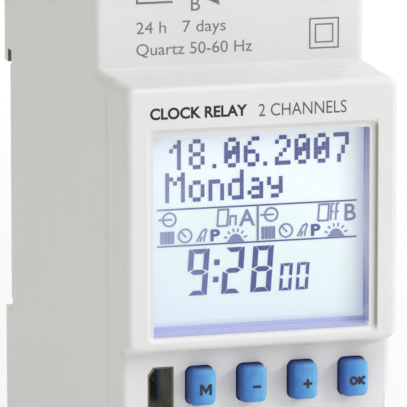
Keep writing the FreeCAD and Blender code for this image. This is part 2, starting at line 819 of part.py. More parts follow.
def make_button(index, name):
    """Rounded key that stands out of the strip, with a flange behind it and a short stem."""
    body = new_body(f"button_{name}")
    bind(body, "Placement.Base.x", button_x(index))
    bind(body, "Placement.Base.z", "button_level")
    key = box_about("0", "0", "button_wide", "button_tall")
    flange_front = "strip_inner - flange_play"
    extrude(body, f"key_{name}", "XZ_Plane", [key],
            f"{flange_front} - flange_thick / 2", "strip_depth + button_out")

    def long_edge(box):
        return box.XLength < TINY and box.ZLength < TINY

    dress(body, f"key_corners_{name}", "Fillet", "button_round - button_gap", long_edge)
    front = -SIZES["strip_depth"] - SIZES["button_out"]

    def front_edge(box):
        return flat(box.YMin, box.YMax, front)

    dress(body, f"key_rim_{name}", "Fillet", "button_rim", front_edge)
    flange = box_about("0", "0", "button_wide + 2 * button_flange", "button_tall + 2 * button_flange")
    extrude(body, f"flange_{name}", "XZ_Plane", [flange], f"{flange_front} - flange_thick", flange_front)
    stem = ("0", "0", "plunger_radius - 2 * slack")
    extrude(body, f"stem_{name}", "XZ_Plane", [stem], "stem_depth", f"{flange_front} - flange_thick / 4")


def make_plunger(index, name):
    """The switch's own moving pin, pushed by the button's stem."""
    start = (button_x(index), "fit - stem_depth", "button_level")
    keep(rod(f"pin_{name}", "y", start, "plunger_radius", "plunger_long"), f"plunger_{name}")


def make_card_socket():
    """Deep narrow socket behind the card slot, with leaf contacts on one wall."""
    body = new_body("card_socket")
    outer = box_about("slot_middle", "(slot_top + slot_low) / 2",
                      "slot_wide + 2 * socket_wall", "slot_top - slot_low + 2 * socket_wall")
    extrude(body, "socket_case", "XZ_Plane", [outer], "socket_back", "strip_inner - fit")
    extrude(body, "socket_collar", "XZ_Plane", [slot_outline("fit")],
            "strip_inner - socket_wall", "strip_depth - collar_set")
    extrude(body, "socket_way", "XZ_Plane", [slot_outline("collar_wall")],
            "socket_back + wall", "strip_depth + wall", cut=True)
    side = "slot_middle + slot_wide / 2 - collar_wall - hair"
    leaves = []
    for row in range(5):
        level = f"slot_top - collar_wall - leaf_first - {row} * leaf_pitch"
        leaves.append(block(f"leaf_{row}", (f"{side} - leaf_thick", side),
                            ("leaf_front - strip_depth", "leaf_back - strip_depth"),
                            (f"{level} - leaf_half", f"{level} + leaf_half")))
    keep(group("leaf_row", leaves), "card_contacts")


# ---------------------------------------------------------------- power section
def make_power_board():
    """Rear board, the small board that links it to the display board, and its loose parts."""
    keep(block("power_board_plate", ("-board_half", "board_half"),
               ("-power_board_depth", "board_thick - power_board_depth"),
               ("-power_board_half", "power_board_half")), "power_board")
    face = "-power_board_depth - fit"
    keep(block("link_plate", ("-link_half", "link_half"), ("fit - board_back", face),
               ("link_level", "link_level + board_thick")), "link_board")
    film = block("film_case", ("film_left", "film_left + film_wide"), ("-film_depth", face),
                 ("film_level", "film_level + film_tall"))
    keep(film, "film_capacitor")
    tin_long = "tin_depth - fit - power_board_depth"
    tins = [rod(f"{x}_can", "y", (x, "-tin_depth", "tin_level"), "tin_radius", tin_long)
            for x in ("tin_left", "tin_right")]
    keep(group("tin_pair", tins), "smoothing_capacitors")
    lead_level = "disc_level + disc_thick / 2"
    lead_long = "lead_top - fit - power_board_depth"
    leads = [rod(f"disc_lead_{i}", "y", (f"disc_x + {side} * lead_spread", "-lead_top", lead_level),
                 "lead_radius", lead_long) for i, side in enumerate((-1, 1))]
    disc = rod("disc", "z", ("disc_x", "-disc_depth", "disc_level"), "disc_radius", "disc_thick")
    disc = fuse("disc_parts", [disc] + leads)
    keep(disc, "surge_disc")


def make_relay(letter, side):
    """One changeover relay: sealed cover and base, coil, yoke with core, armature, fixed contacts."""
    x = f"({side} * relay_middle)"
    foot = "-power_board_depth - fit"
    inner_wide = "relay_wide / 2 - relay_wall - fit"
    inner_long = "relay_long / 2 - relay_wall - fit"
    cover = block(f"cover_outer_{letter}", (f"{x} - relay_wide / 2", f"{x} + relay_wide / 2"),
                  (f"{foot} - relay_tall", f"{foot} - 3 * slack"), ("-relay_long / 2", "relay_long / 2"))
    room = block(f"cover_room_{letter}",
                 (f"{x} - relay_wide / 2 + relay_wall", f"{x} + relay_wide / 2 - relay_wall"),
                 (f"{foot} - relay_tall + relay_wall", foot),
                 ("relay_wall - relay_long / 2", "relay_long / 2 - relay_wall"))
    keep(cut(f"cover_{letter}", cover, room), f"relay_{letter}_case")
    keep(block(f"foot_{letter}", (f"{x} - ({inner_wide})", f"{x} + {inner_wide}"),
               (f"{foot} - relay_foot", foot), (f"-({inner_long})", inner_long)), f"relay_{letter}_base")
    make_coil(letter, x)
    make_armature(letter, x)
    make_relay_contacts(letter, x, f"{foot} - relay_foot - hair")


def make_coil(letter, x):
    """Wound bobbin on its core, and the yoke that carries the field round to the armature."""
    middle = "-coil_depth"
    flange_radius = "coil_radius + coil_flange_wide"
    solid = fuse(f"bobbin_{letter}", [
        rod(f"winding_{letter}", "z", (x, middle, "coil_low"), "coil_radius", "coil_long"),
        rod(f"flange_low_{letter}", "z", (x, middle, "coil_low"), flange_radius, "coil_flange"),
        rod(f"flange_high_{letter}", "z", (x, middle, "coil_low + coil_long - coil_flange"),
            flange_radius, "coil_flange"),
    ])
    bore = rod(f"bobbin_bore_{letter}", "z", (x, middle, "yoke_low"), "core_radius + slack", "relay_long")
    keep(cut(f"coil_{letter}", solid, bore), f"relay_{letter}_coil")
    wide = (f"{x} - yoke_half", f"{x} + yoke_half")
    yoke = fuse(f"yoke_{letter}", [
        rod(f"core_{letter}", "z", (x, middle, "core_low"), "core_radius", "core_high - core_low"),
        block(f"yoke_end_{letter}", wide, ("-yoke_depth", "core_low"), ("yoke_low", "yoke_low + yoke_end")),
        block(f"yoke_leg_{letter}", wide, ("-yoke_depth", "yoke_thick - yoke_depth"),
              ("yoke_low", "yoke_high")),
    ])
    keep(yoke, f"relay_{letter}_yoke")


def make_armature(letter, x):
    """Rocking plate with a rounded edge on the yoke, and the arm that carries the moving contact."""
    armature = fuse(f"armature_{letter}", [
        block(f"armature_plate_{letter}", (f"{x} - armature_half", f"{x} + armature_half"),
              ("-armature_front", "-armature_back"), ("armature_low", "armature_low + armature_thick")),
        block(f"armature_arm_{letter}", (f"{x} - arm_half", f"{x} + arm_half"),
              ("-arm_back - arm_thick", "-arm_back"), ("arm_low", "arm_high")),
        rod(f"armature_tip_{letter}", "y", (x, "-tip_depth", "tip_level"), "tip_radius", "tip_thick"),
        rod(f"armature_edge_{letter}", "x",
            (f"{x} - armature_edge_half", "armature_edge - armature_front + fit", "armature_low"),
            "armature_edge", "2 * armature_edge_half"),
    ])
    keep(armature, f"relay_{letter}_armature")


def make_relay_contacts(letter, x, root):
    """The two fixed contacts, one on each side of the moving one."""
    places = (("open", "-open_pad_depth", "open_post"), ("closed", "-closed_pad_depth", "closed_post"))
    blades = []
    for name, pad, post in places:
        blades.append(fuse(f"blade_{name}_{letter}", [
            block(f"blade_pad_{name}_{letter}", (f"{x} - arm_half", f"{x} + arm_half"),
                  (pad, f"{pad} + pad_thick"), ("pad_low", f"{post} + post_thick")),
            block(f"blade_post_{name}_{letter}", (f"{x} - post_half", f"{x} + post_half"), (pad, root),
                  (post, f"{post} + post_thick")),
        ]))
    keep(group(f"blades_{letter}", blades), f"relay_{letter}_contacts")


# ---------------------------------------------------------------- terminals
def place_in_row(body, column, row):
    """Move a piece to one of the terminal positions; row is 1 above and -1 below."""
    bind(body, "Placement.Base.x", f"({column} - 1.5) * terminal_pitch")
    bind(body, "Placement.Base.z", f"({row}) * screw_level")


def make_terminal_block(row, label):
    """Moulded comb with one pocket for each cage, open to the front and to the wire side."""
    body = new_body(label)
    turn = FreeCAD.Rotation(FreeCAD.Vector(0, 1, 0), 0 if row > 0 else 180)
    body.Placement = FreeCAD.Placement(FreeCAD.Vector(), turn)
    outer = rectangle("slack - inner_half", "inner_half - slack", "block_low", "half_tall - wall - 2 * slack")
    pocket_floor = "cage_back - cage_wall / 2"
    extrude(body, f"comb_{label}", "XZ_Plane", [outer],
            f"{pocket_floor} - block_wall", "head_depth - head_tall")
    first = "-1.5 * terminal_pitch"
    pocket = rectangle(f"{first} - cage_half - 2 * slack", f"{first} + cage_half + 2 * slack",
                       "block_low + block_wall", "half_tall")
    pockets = extrude(body, f"pocket_{label}", "XZ_Plane", [pocket], pocket_floor, "half_tall + wall", cut=True)
    repeat(body, f"pockets_{label}", pockets, "X_Axis", "3 * terminal_pitch", TERMINALS_IN_ROW)
    slit = rectangle(f"{first} - bar_wide / 2 - slack", f"{first} + bar_wide / 2 + slack",
                     "-bar_depth - bar_thick - slack", "slack - bar_depth")
    slits = extrude(body, f"slit_{label}", "XY_Plane", [slit],
                    "block_low - wall", "block_low + 2 * wall", cut=True)
    repeat(body, f"slits_{label}", slits, "X_Axis", "3 * terminal_pitch", TERMINALS_IN_ROW)


def make_terminal_bars():
    """Stamped current bars, each from its clamp down to the power board."""
    bars = []
    for row in (1, -1):
        for column in range(TERMINALS_IN_ROW):
            name = f"bar_{'upper' if row > 0 else 'lower'}_{column}"
            x = f"({column} - 1.5) * terminal_pitch"
            wide = (f"{x} - bar_wide / 2", f"{x} + bar_wide / 2")
            reach = ("bar_leg", "screw_level + cage_long / 2 + 1")
            leg = ("bar_leg", "bar_leg + bar_thick")
            if row < 0:
                reach = (f"-({reach[1]})", f"-{reach[0]}")
                leg = (f"-({leg[1]})", f"-{leg[0]}")
            bars.append(fuse(name, [
                block(f"{name}_tongue", wide, ("-bar_depth - bar_thick", "-bar_depth"), reach),
                block(f"{name}_leg", wide, ("-bar_depth - bar_thick", "-power_board_depth - fit"), leg),
            ]))
    keep(group("bar_set", bars), "terminal_bars")


def make_terminal_screw(column, row, number):
    """Captive clamp screw: slotted head behind the front wall, plain-modelled thread."""
    body = new_body(f"terminal_screw_{number}")
    place_in_row(body, column, row)
    extrude(body, f"head_{number}", "XZ_Plane", [("0", "0", "head_radius")],
            "head_depth - head_tall", "head_depth")
    extrude(body, f"shank_{number}", "XZ_Plane", [("0", "0", "shank_radius")], "screw_tip", "head_depth - 1")
    slots = [
        ("-drive_half", "drive_half", "-head_radius - 1", "head_radius + 1"),
        ("-drive_cross", "drive_cross", "-drive_half", "drive_half"),
    ]
    for index, sides in enumerate(slots):
        extrude(body, f"drive_{index}_{number}", "XZ_Plane", [rectangle(*sides)],
                "head_depth - drive_deep", "head_depth + 1", cut=True)

    def front_rim(box):
        return flat(box.YMin, box.YMax, -SIZES["head_depth"]) and box.ZLength > SIZES["head_radius"]

    dress(body, f"head_rim_{number}", "Chamfer", "head_rim", front_rim)


def make_terminal_cage(column, row, number):
    """Rising clamp: threaded front wall, two sides and a jaw that lifts the wire to the bar."""
    body = new_body(f"terminal_cage_{number}")
    place_in_row(body, column, row)
    outer = rectangle("-cage_half", "cage_half", "-cage_front", "-cage_back")
    inner = rectangle("cage_wall - cage_half", "cage_half - cage_wall",
                      "cage_top_wall - cage_front", "-cage_back - cage_jaw")
    extrude(body, f"loop_{number}", "XY_Plane", [outer, inner], "-cage_long / 2", "cage_long / 2")
    extrude(body, f"thread_{number}", "XZ_Plane", [("0", "0", "shank_radius + thread_play")],
            "cage_front - cage_top_wall - 0.5", "cage_front + 1", cut=True)

    def outer_corner(box):
        return near(abs(box.XMin), SIZES["cage_half"]) and box.XLength < TINY and box.YLength < TINY

    dress(body, f"cage_corners_{number}", "Fillet", "cage_wall / 2", outer_corner)


def make_terminals():
    make_terminal_block(1, "terminal_block_upper")
    make_terminal_block(-1, "terminal_block_lower")
    make_terminal_bars()
    number = 1
    for row in (1, -1):
        for column in range(TERMINALS_IN_ROW):
            make_terminal_screw(column, row, number)
            make_terminal_cage(column, row, number)
            number += 1


# ---------------------------------------------------------------- build and write
def check_document():
    """Stop if any object failed to rebuild or any piece is missing or broken."""
    doc.recompute()
    for thing in doc.Objects:
        if "Invalid" in thing.State or "Error" in thing.State:
            raise RuntimeError(f"{thing.Label} did not rebuild: {thing.State}")
    for node in nodes:
        if node.Shape.isNull() or not node.Shape.isValid():
            raise RuntimeError(f"{node.Label} has no valid shape")


def write_parts():
    os.makedirs("parts", exist_ok=True)
    for node in nodes:
        node.Shape.exportStep(f"parts/{node.Label}.step")
    print(len(nodes), "pieces written")


def main():
    fill_sheet()
    make_housing()
    make_base_plate()
    make_front_cover()
    make_latch()
    make_latch_spring()
    make_display_window()
    make_lcd_panel()
    make_display_frame()
    make_display_inside()
    make_display_board()
    make_board_parts()
    make_tact_switches()
    for index, name in enumerate(BUTTONS):
        make_button(index, name)
        make_plunger(index, name)
    make_card_socket()
    make_power_board()
    make_relay("a", -1)
    make_relay("b", 1)
    make_terminals()
    check_document()
    write_parts()


main()
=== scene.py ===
"""Looks of the two-module time switch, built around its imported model.

X runs across the front to the right, Y back towards the rail and Z up, in metres. A length
written as a number times MM is in millimetres. Materials measure places in plain millimetres.
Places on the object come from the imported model's own boxes.
"""
import json
import math

import bmesh
import bpy
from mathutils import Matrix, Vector


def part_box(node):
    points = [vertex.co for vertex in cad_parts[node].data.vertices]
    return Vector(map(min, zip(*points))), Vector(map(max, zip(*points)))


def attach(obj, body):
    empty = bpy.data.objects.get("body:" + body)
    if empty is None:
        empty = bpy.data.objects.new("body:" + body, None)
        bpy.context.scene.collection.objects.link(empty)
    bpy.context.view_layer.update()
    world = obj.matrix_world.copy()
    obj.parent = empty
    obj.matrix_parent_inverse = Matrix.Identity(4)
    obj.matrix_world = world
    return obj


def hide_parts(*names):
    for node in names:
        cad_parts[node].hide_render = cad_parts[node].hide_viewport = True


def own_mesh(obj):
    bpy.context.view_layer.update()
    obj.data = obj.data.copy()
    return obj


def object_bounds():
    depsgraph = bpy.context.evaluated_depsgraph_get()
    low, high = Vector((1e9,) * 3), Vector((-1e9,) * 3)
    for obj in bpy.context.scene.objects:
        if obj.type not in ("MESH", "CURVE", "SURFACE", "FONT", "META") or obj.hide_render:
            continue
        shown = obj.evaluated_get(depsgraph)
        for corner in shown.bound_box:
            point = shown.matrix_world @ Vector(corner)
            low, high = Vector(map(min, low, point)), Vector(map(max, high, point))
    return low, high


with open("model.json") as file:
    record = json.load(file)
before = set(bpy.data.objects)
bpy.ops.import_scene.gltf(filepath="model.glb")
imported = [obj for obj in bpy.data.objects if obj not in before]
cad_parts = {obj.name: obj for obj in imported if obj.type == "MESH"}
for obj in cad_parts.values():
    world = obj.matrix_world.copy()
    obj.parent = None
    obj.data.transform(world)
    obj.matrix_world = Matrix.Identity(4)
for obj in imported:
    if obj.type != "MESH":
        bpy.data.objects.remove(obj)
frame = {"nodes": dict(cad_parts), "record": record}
cad_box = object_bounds()

MM = 0.001
scene = bpy.context.scene

# ---------------------------------------------------------------- places read from the model
cover_low, cover_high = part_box("front_cover")
panel_low, panel_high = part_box("lcd_panel")
lens_low, lens_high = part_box("display_window")
socket_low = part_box("card_socket")[0]
object_low = cad_box[0]
housing_points = [vertex.co for vertex in frame["nodes"]["housing"].data.vertices]

# depths of the planes that carry printing: the front face, the display glass, the shoulders
FACE = cover_low.y
PANEL = panel_low.y
SHOULDER = min(point.y for point in housing_points if point.z > cover_high.z + 1 * MM)

# ---------------------------------------------------------------- sizes that the boxes don't give
# how far the clear window's flange stands out around its raised part
LENS_FLANGE = 0.6 * MM
LATCH_TRAVEL = 3 * MM
# rail hook, in plain millimetres: how far its inner face lies behind the seat, and the heights
# of its lower end and of its root
HOOK_GAP = 1.3
HOOK_LOW, HOOK_TOP = 16.2, 18.0

# thickness of a printed ink, and how much further one of two crossing lines stands out
INK_THICK = 0.012 * MM
INK_STEP = 0.003 * MM


# ---------------------------------------------------------------- node helpers
def new_material(name):
    """A material with one Principled shader: (material, its tree, the shader)."""
    material = bpy.data.materials.new(name)
    material.use_nodes = True
    tree = material.node_tree
    tree.nodes.clear()
    output = tree.nodes.new("ShaderNodeOutputMaterial")
    shader = tree.nodes.new("ShaderNodeBsdfPrincipled")
    tree.links.new(shader.outputs["BSDF"], output.inputs["Surface"])
    return material, tree, shader


def place(tree, shares=(1, 1, 1)):
    """Places in the shared frame, in millimetres; a share below 1 draws a pattern out that way."""
    where = tree.nodes.new("ShaderNodeTexCoord")
    scale = tree.nodes.new("ShaderNodeMapping")
    scale.inputs["Scale"].default_value = [share / MM for share in shares]
    tree.links.new(where.outputs["Object"], scale.inputs["Vector"])
    return scale.outputs["Vector"]


def noise(tree, where, size, detail=2.0, rough=0.5):
    """Soft random pattern, 0 to 1, with spots about size millimetres wide."""
    node = tree.nodes.new("ShaderNodeTexNoise")
    node.inputs["Scale"].default_value = 1 / size
    node.inputs["Detail"].default_value = detail
    node.inputs["Roughness"].default_value = rough
    tree.links.new(where, node.inputs["Vector"])
    return node.outputs["Fac"]


def axis_of(tree, where, axis):
    """One coordinate out of a place."""
    node = tree.nodes.new("ShaderNodeSeparateXYZ")
    tree.links.new(where, node.inputs["Vector"])
    return node.outputs[axis]


def span(tree, value, low, high, to_low=0.0, to_high=1.0):
    """Linear change from one range to another, held at its ends."""
    node = tree.nodes.new("ShaderNodeMapRange")
    node.inputs["From Min"].default_value = low
    node.inputs["From Max"].default_value = high
    node.inputs["To Min"].default_value = to_low
    node.inputs["To Max"].default_value = to_high
    tree.links.new(value, node.inputs["Value"])
    return node.outputs["Result"]


def swing(tree, pattern, low, high):
    """A random pattern's usual range brought to the range from low to high."""
    return span(tree, pattern, 0.3, 0.7, low, high)


def colours(tree, value, *stops):
    """Colour ramp over 0 to 1; each stop is (position, colour)."""
    node = tree.nodes.new("ShaderNodeValToRGB")
    ramp = node.color_ramp
    while len(ramp.elements) < len(stops):
        ramp.elements.new(1.0)
    for element, (position, colour) in zip(ramp.elements, stops):
        element.position = position
        element.color = (*colour, 1)
    tree.links.new(value, node.inputs["Fac"])
    return node.outputs["Color"]


def combine(tree, first, second, operation="ADD"):
    """One calculation on two values, each of them a number or another node's output."""
    node = tree.nodes.new("ShaderNodeMath")
    node.operation = operation
    for index, value in enumerate((first, second)):
        if isinstance(value, float):
            node.inputs[index].default_value = value
        else:
            tree.links.new(value, node.inputs[index])
    return node.outputs["Value"]


def blend_colour(tree, share, colour, far_colour):
    """A changing colour that turns into a fixed one as the share goes from 0 to 1."""
    node = tree.nodes.new("ShaderNodeMix")
    node.data_type = "RGBA"
    factor, near, far = (socket for socket in node.inputs if socket.enabled)
    tree.links.new(share, factor)
    tree.links.new(colour, near)
    far.default_value = (*far_colour, 1)
    return next(socket for socket in node.outputs if socket.enabled)


def emboss(tree, shader, height, depth):
    """Bump whose full height is depth millimetres."""
    node = tree.nodes.new("ShaderNodeBump")
    node.inputs["Distance"].default_value = depth * MM
    tree.links.new(height, node.inputs["Height"])
    tree.links.new(node.outputs["Normal"], shader.inputs["Normal"])


def shaded(colour, share):
    """The colour with every channel multiplied by the share."""
    return tuple(channel * share for channel in colour)


# ---------------------------------------------------------------- materials
def moulded(name, colour, gloss=0.42, grain=0.16, depth=0.006, mottle=0.03):
    """Spark-eroded moulded plastic: fine pebble grain, faint flow marks, uneven gloss."""
    material, tree, shader = new_material(name)
    where = place(tree)
    cloud = noise(tree, where, 9.0, detail=3.0)
    shade = colours(tree, cloud, (0.3, shaded(colour, 1 - mottle)), (0.7, colour))
    tree.links.new(shade, shader.inputs["Base Color"])
    pebble = noise(tree, where, grain, detail=3.0, rough=0.6)
    uneven = combine(tree, swing(tree, cloud, -0.04, 0.04), swing(tree, pebble, -0.05, 0.05))
    tree.links.new(combine(tree, uneven, gloss), shader.inputs["Roughness"])
    emboss(tree, shader, pebble, depth)
    return material


def metal(name, colour, roughness, lay=(1, 1, 12), grain=0.12):
    """Plated or drawn metal: fine lines, lay times longer that way, over faint stains."""
    material, tree, shader = new_material(name)
    shader.inputs["Metallic"].default_value = 1.0
    lines = noise(tree, place(tree, [1 / length for length in lay]), grain, detail=2.0)
    stain = noise(tree, place(tree), 2.5, detail=4.0)
    shade = colours(tree, stain, (0.35, shaded(colour, 0.86)), (0.65, colour))
    tree.links.new(shade, shader.inputs["Base Color"])
    tree.links.new(swing(tree, lines, roughness - 0.08, roughness + 0.12), shader.inputs["Roughness"])
    emboss(tree, shader, lines, 0.004)
    return material


def laminate(name):
    """Green lacquered circuit board with a faint glass weave and darker copper areas below."""
    material, tree, shader = new_material(name)
    where = place(tree)
    weave = tree.nodes.new("ShaderNodeTexChecker")
    weave.inputs["Scale"].default_value = 2.5
    tree.links.new(where, weave.inputs["Vector"])
    tracks = noise(tree, where, 3.0, detail=0.0)
    shade = colours(tree, tracks, (0.48, (0.012, 0.10, 0.035)), (0.52, (0.025, 0.19, 0.06)))
    tree.links.new(shade, shader.inputs["Base Color"])
    tree.links.new(span(tree, tracks, 0.4, 0.6, 0.30, 0.42), shader.inputs["Roughness"])
    emboss(tree, shader, weave.outputs["Fac"], 0.01)
    return material


def winding(name):
    """Enamelled copper wire, one turn beside the next along the coil's axis."""
    material, tree, shader = new_material(name)
    shader.inputs["Metallic"].default_value = 1.0
    turns = tree.nodes.new("ShaderNodeTexWave")
    turns.bands_direction = "Z"
    turns.inputs["Scale"].default_value = 2.0
    turns.inputs["Distortion"].default_value = 0.4
    tree.links.new(place(tree), turns.inputs["Vector"])
    shade = colours(tree, turns.outputs["Fac"], (0.1, (0.22, 0.07, 0.03)), (0.8, (0.72, 0.33, 0.17)))
    tree.links.new(shade, shader.inputs["Base Color"])
    tree.links.new(span(tree, turns.outputs["Fac"], 0.0, 1.0, 0.5, 0.25), shader.inputs["Roughness"])
    emboss(tree, shader, turns.outputs["Fac"], 0.04)
    return material


def clear_plastic(name):
    """Polished clear cover, almost invisible but for its gloss and a trace of fine wiping marks."""
    material, tree, shader = new_material(name)
    shader.inputs["Base Color"].default_value = (0.85, 0.92, 1.0, 1)
    shader.inputs["Alpha"].default_value = 0.03
    shader.inputs["IOR"].default_value = 1.49
    marks = noise(tree, place(tree, (1, 1, 0.15)), 0.4, detail=4.0)
    tree.links.new(span(tree, marks, 0.4, 0.6, 0.03, 0.08), shader.inputs["Roughness"])
    return material


def lit_glass(name):
    """Display glass with its backlight on.

    It is whiter upwards and to the right, and dim along its right and lower edges.
    """
    material, tree, shader = new_material(name)
    where = place(tree)
    along, up = (axis_of(tree, where, axis) for axis in "XZ")
    cloud = noise(tree, where, 7.0)
    across = span(tree, along, panel_low.x / MM, panel_high.x / MM, 0.0, 0.35)
    upward = span(tree, up, panel_low.z / MM, panel_high.z / MM, 0.0, 0.65)
    uneven = combine(tree, combine(tree, across, upward), swing(tree, cloud, -0.08, 0.08))
    field = colours(tree, uneven,
                    (0.1, (0.44, 0.545, 0.56)),
                    (0.35, (0.48, 0.56, 0.58)),
                    (0.5, (0.52, 0.61, 0.59)),
                    (0.65, (0.60, 0.645, 0.67)))
    right, low = panel_high.x / MM, panel_low.z / MM
    right_edge = span(tree, along, right - 3.2, right - 1.4)
    low_edge = span(tree, up, low + 2.3, low + 1.0)
    edge = combine(tree, right_edge, low_edge, "MAXIMUM")
    shade = blend_colour(tree, edge, field, (0.20, 0.25, 0.40))
    tree.links.new(shade, shader.inputs["Base Color"])
    shader.inputs["Emission Color"].default_value = (0.84, 0.92, 0.97, 1)
    shader.inputs["Emission Strength"].default_value = 0.38
    tree.links.new(swing(tree, cloud, 0.3, 0.4), shader.inputs["Roughness"])
    return material


def segment_ink(name, strength):
    """Dark liquid crystal, palest at the left of the display and darkest around its middle."""
    material, tree, shader = new_material(name)
    where = place(tree)
    across = span(tree, axis_of(tree, where, "X"), panel_low.x / MM, panel_high.x / MM)
    cloud = noise(tree, where, 2.0, detail=2.0)
    uneven = combine(tree, across, swing(tree, cloud, -0.05, 0.05))
    contrasts = ((0.08, 0.42), (0.25, 0.80), (0.48, 1.0), (0.75, 0.93), (0.95, 0.72))
    stops = [(at, ink_colour(strength * contrast)) for at, contrast in contrasts]
    shade = colours(tree, uneven, *stops)
    tree.links.new(shade, shader.inputs["Base Color"])
    tree.links.new(swing(tree, cloud, 0.45, 0.6), shader.inputs["Roughness"])
    return material


def ink_colour(strength):
    """Colour of the liquid crystal between clear glass (0) and full contrast (1)."""
    full, clear = (0.045, 0.06, 0.29), (0.42, 0.46, 0.64)
    return tuple(far + (near - far) * strength for near, far in zip(full, clear))


def print_ink(name, colour):
    """Pad-printed ink: thin, matt and slightly patchy."""
    material, tree, shader = new_material(name)
    patch = noise(tree, place(tree), 0.25, detail=3.0)
    shade = colours(tree, patch, (0.35, shaded(colour, 0.8)), (0.7, shaded(colour, 1.15)))
    tree.links.new(shade, shader.inputs["Base Color"])
    tree.links.new(swing(tree, patch, 0.5, 0.7), shader.inputs["Roughness"])
    return material


def key_plastic(name):
    """Satin blue key with painted light: its front is painted lighter to the right, as if lit from
    there, and its sides are painted darker, as shade, towards the casing.
    """
    material, tree, shader = new_material(name)
    where = place(tree)
    keys = [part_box(f"button_{key}") for key in ("menu", "minus")]
    first_low, first_high = (corner / MM for corner in keys[0])
    wide = first_high.x - first_low.x
    pitch = keys[1][0].x / MM - first_low.x
    along = combine(tree, axis_of(tree, where, "X"), first_low.x, "SUBTRACT")
    along_key = combine(tree, along, pitch, "FLOORED_MODULO")
    across = span(tree, along_key, 0.1 * wide, 0.95 * wide)
    cloud = noise(tree, where, 1.2, detail=2.0)
    uneven = combine(tree, across, swing(tree, cloud, -0.08, 0.08))
    # painted light: the front runs from dark blue at its left to light blue at its right
    front = colours(tree, uneven,
                    (0.0, (0.05, 0.15, 0.45)),
                    (0.35, (0.08, 0.25, 0.60)),
                    (1.0, (0.20, 0.56, 0.86)))
    # painted shade: the sides turn navy towards the casing
    side_painted_shade = span(tree, axis_of(tree, where, "Y"), first_low.y + 0.1, first_low.y + 1.1)
    shade = blend_colour(tree, side_painted_shade, front, (0.015, 0.05, 0.26))
    tree.links.new(shade, shader.inputs["Base Color"])
    shader.inputs["Specular IOR Level"].default_value = 0.15
    tree.links.new(swing(tree, cloud, 0.36, 0.46), shader.inputs["Roughness"])
    emboss(tree, shader, noise(tree, where, 0.12, detail=2.0), 0.003)
    return material


def socket_plastic(name):
    """Dark moulding of the card socket, paler with dust from its mouth inwards."""
    material, tree, shader = new_material(name)
    where = place(tree)
    mouth, depth = socket_low.y / MM, 5.0
    inward = span(tree, axis_of(tree, where, "Y"), mouth, mouth + depth)
    dust = noise(tree, where, 1.5, detail=3.0)
    uneven = combine(tree, inward, swing(tree, dust, -0.1, 0.1))
    shade = colours(tree, uneven,
                    (0.05, (0.13, 0.135, 0.11)),
                    (0.5, (0.40, 0.41, 0.36)),
                    (1.0, (0.75, 0.76, 0.70)))
    tree.links.new(shade, shader.inputs["Base Color"])
    tree.links.new(span(tree, uneven, 0.0, 1.0, 0.55, 0.7), shader.inputs["Roughness"])
    emboss(tree, shader, noise(tree, where, 0.2, detail=3.0), 0.006)
    return material


def band_shade(name):
    """Violet of the display's unlit border and of a painted reflection of it on the window, palest at
    mid-height and deeper towards the front.
    """
    material, tree, shader = new_material(name)
    where = place(tree)
    up = span(tree, axis_of(tree, where, "Z"), panel_low.z / MM, panel_high.z / MM)
    uneven = combine(tree, up, swing(tree, noise(tree, where, 3.0), -0.05, 0.05))
    shade = colours(tree, uneven,
                    (0.1, (0.56, 0.60, 0.85)),
                    (0.14, (0.36, 0.36, 0.68)),
                    (0.45, (0.80, 0.76, 0.92)),
                    (0.7, (0.60, 0.62, 0.87)),
                    (1.0, (0.36, 0.38, 0.70)))
    # the painted reflection on the window's walls darkens towards the front
    forward = span(tree, axis_of(tree, where, "Y"), PANEL / MM, lens_low.y / MM, 0.0, 0.26)
    fading_reflection = blend_colour(tree, forward, shade, (0.16, 0.16, 0.42))
    tree.links.new(fading_reflection, shader.inputs["Base Color"])
    tree.links.new(span(tree, up, 0.0, 1.0, 0.3, 0.4), shader.inputs["Roughness"])
    return material


def stained(material, colour, *limits):
    """The material with a painted shade colour inside all the limits, each (axis, low, high, softness).
    """
    tree = material.node_tree
    shader = next(node for node in tree.nodes if node.type == "BSDF_PRINCIPLED")
    unshaded_colour = shader.inputs["Base Color"].links[0].from_socket
    where = place(tree)
    share = 1.0
    for axis, low, high, soft in limits:
        along = axis_of(tree, where, axis)
        above = span(tree, along, low, low + soft)
        below = span(tree, along, high, high - soft)
        inside = combine(tree, above, below, "MULTIPLY")
        share = combine(tree, inside, share, "MULTIPLY")
    # painted shade: the shade colour replaces the plain colour inside the limits
    tree.links.new(blend_colour(tree, share, unshaded_colour, colour), shader.inputs["Base Color"])
    return material


CASING_COLOUR = (0.80, 0.80, 0.79)


def casing_plastic(name):
    """The casing's plastic, with dark painted shade on the inner face of the rail hook."""
    depth = ("Y", HOOK_GAP - 0.06, HOOK_GAP + 0.06, 0.02)
    height = ("Z", HOOK_LOW - 0.1, HOOK_TOP + 0.1, 0.2)
    # dark brown painted shade in the recess of the rail hook
    return stained(moulded(name, CASING_COLOUR), (0.16, 0.13, 0.10), depth, height)


def cover_plastic(name):
    """The casing's plastic, with olive painted shade along the slope at the right of the window."""
    slope_at = lens_high.x / MM - 0.05
    across = ("X", slope_at, slope_at + 0.52, 0.2)
    height = ("Z", lens_low.z / MM - 0.5, lens_high.z / MM + 0.7, 1.2)
    # olive colour painted as the shade on the window's right slope
    return stained(moulded(name, CASING_COLOUR), (0.33, 0.35, 0.25), across, height)


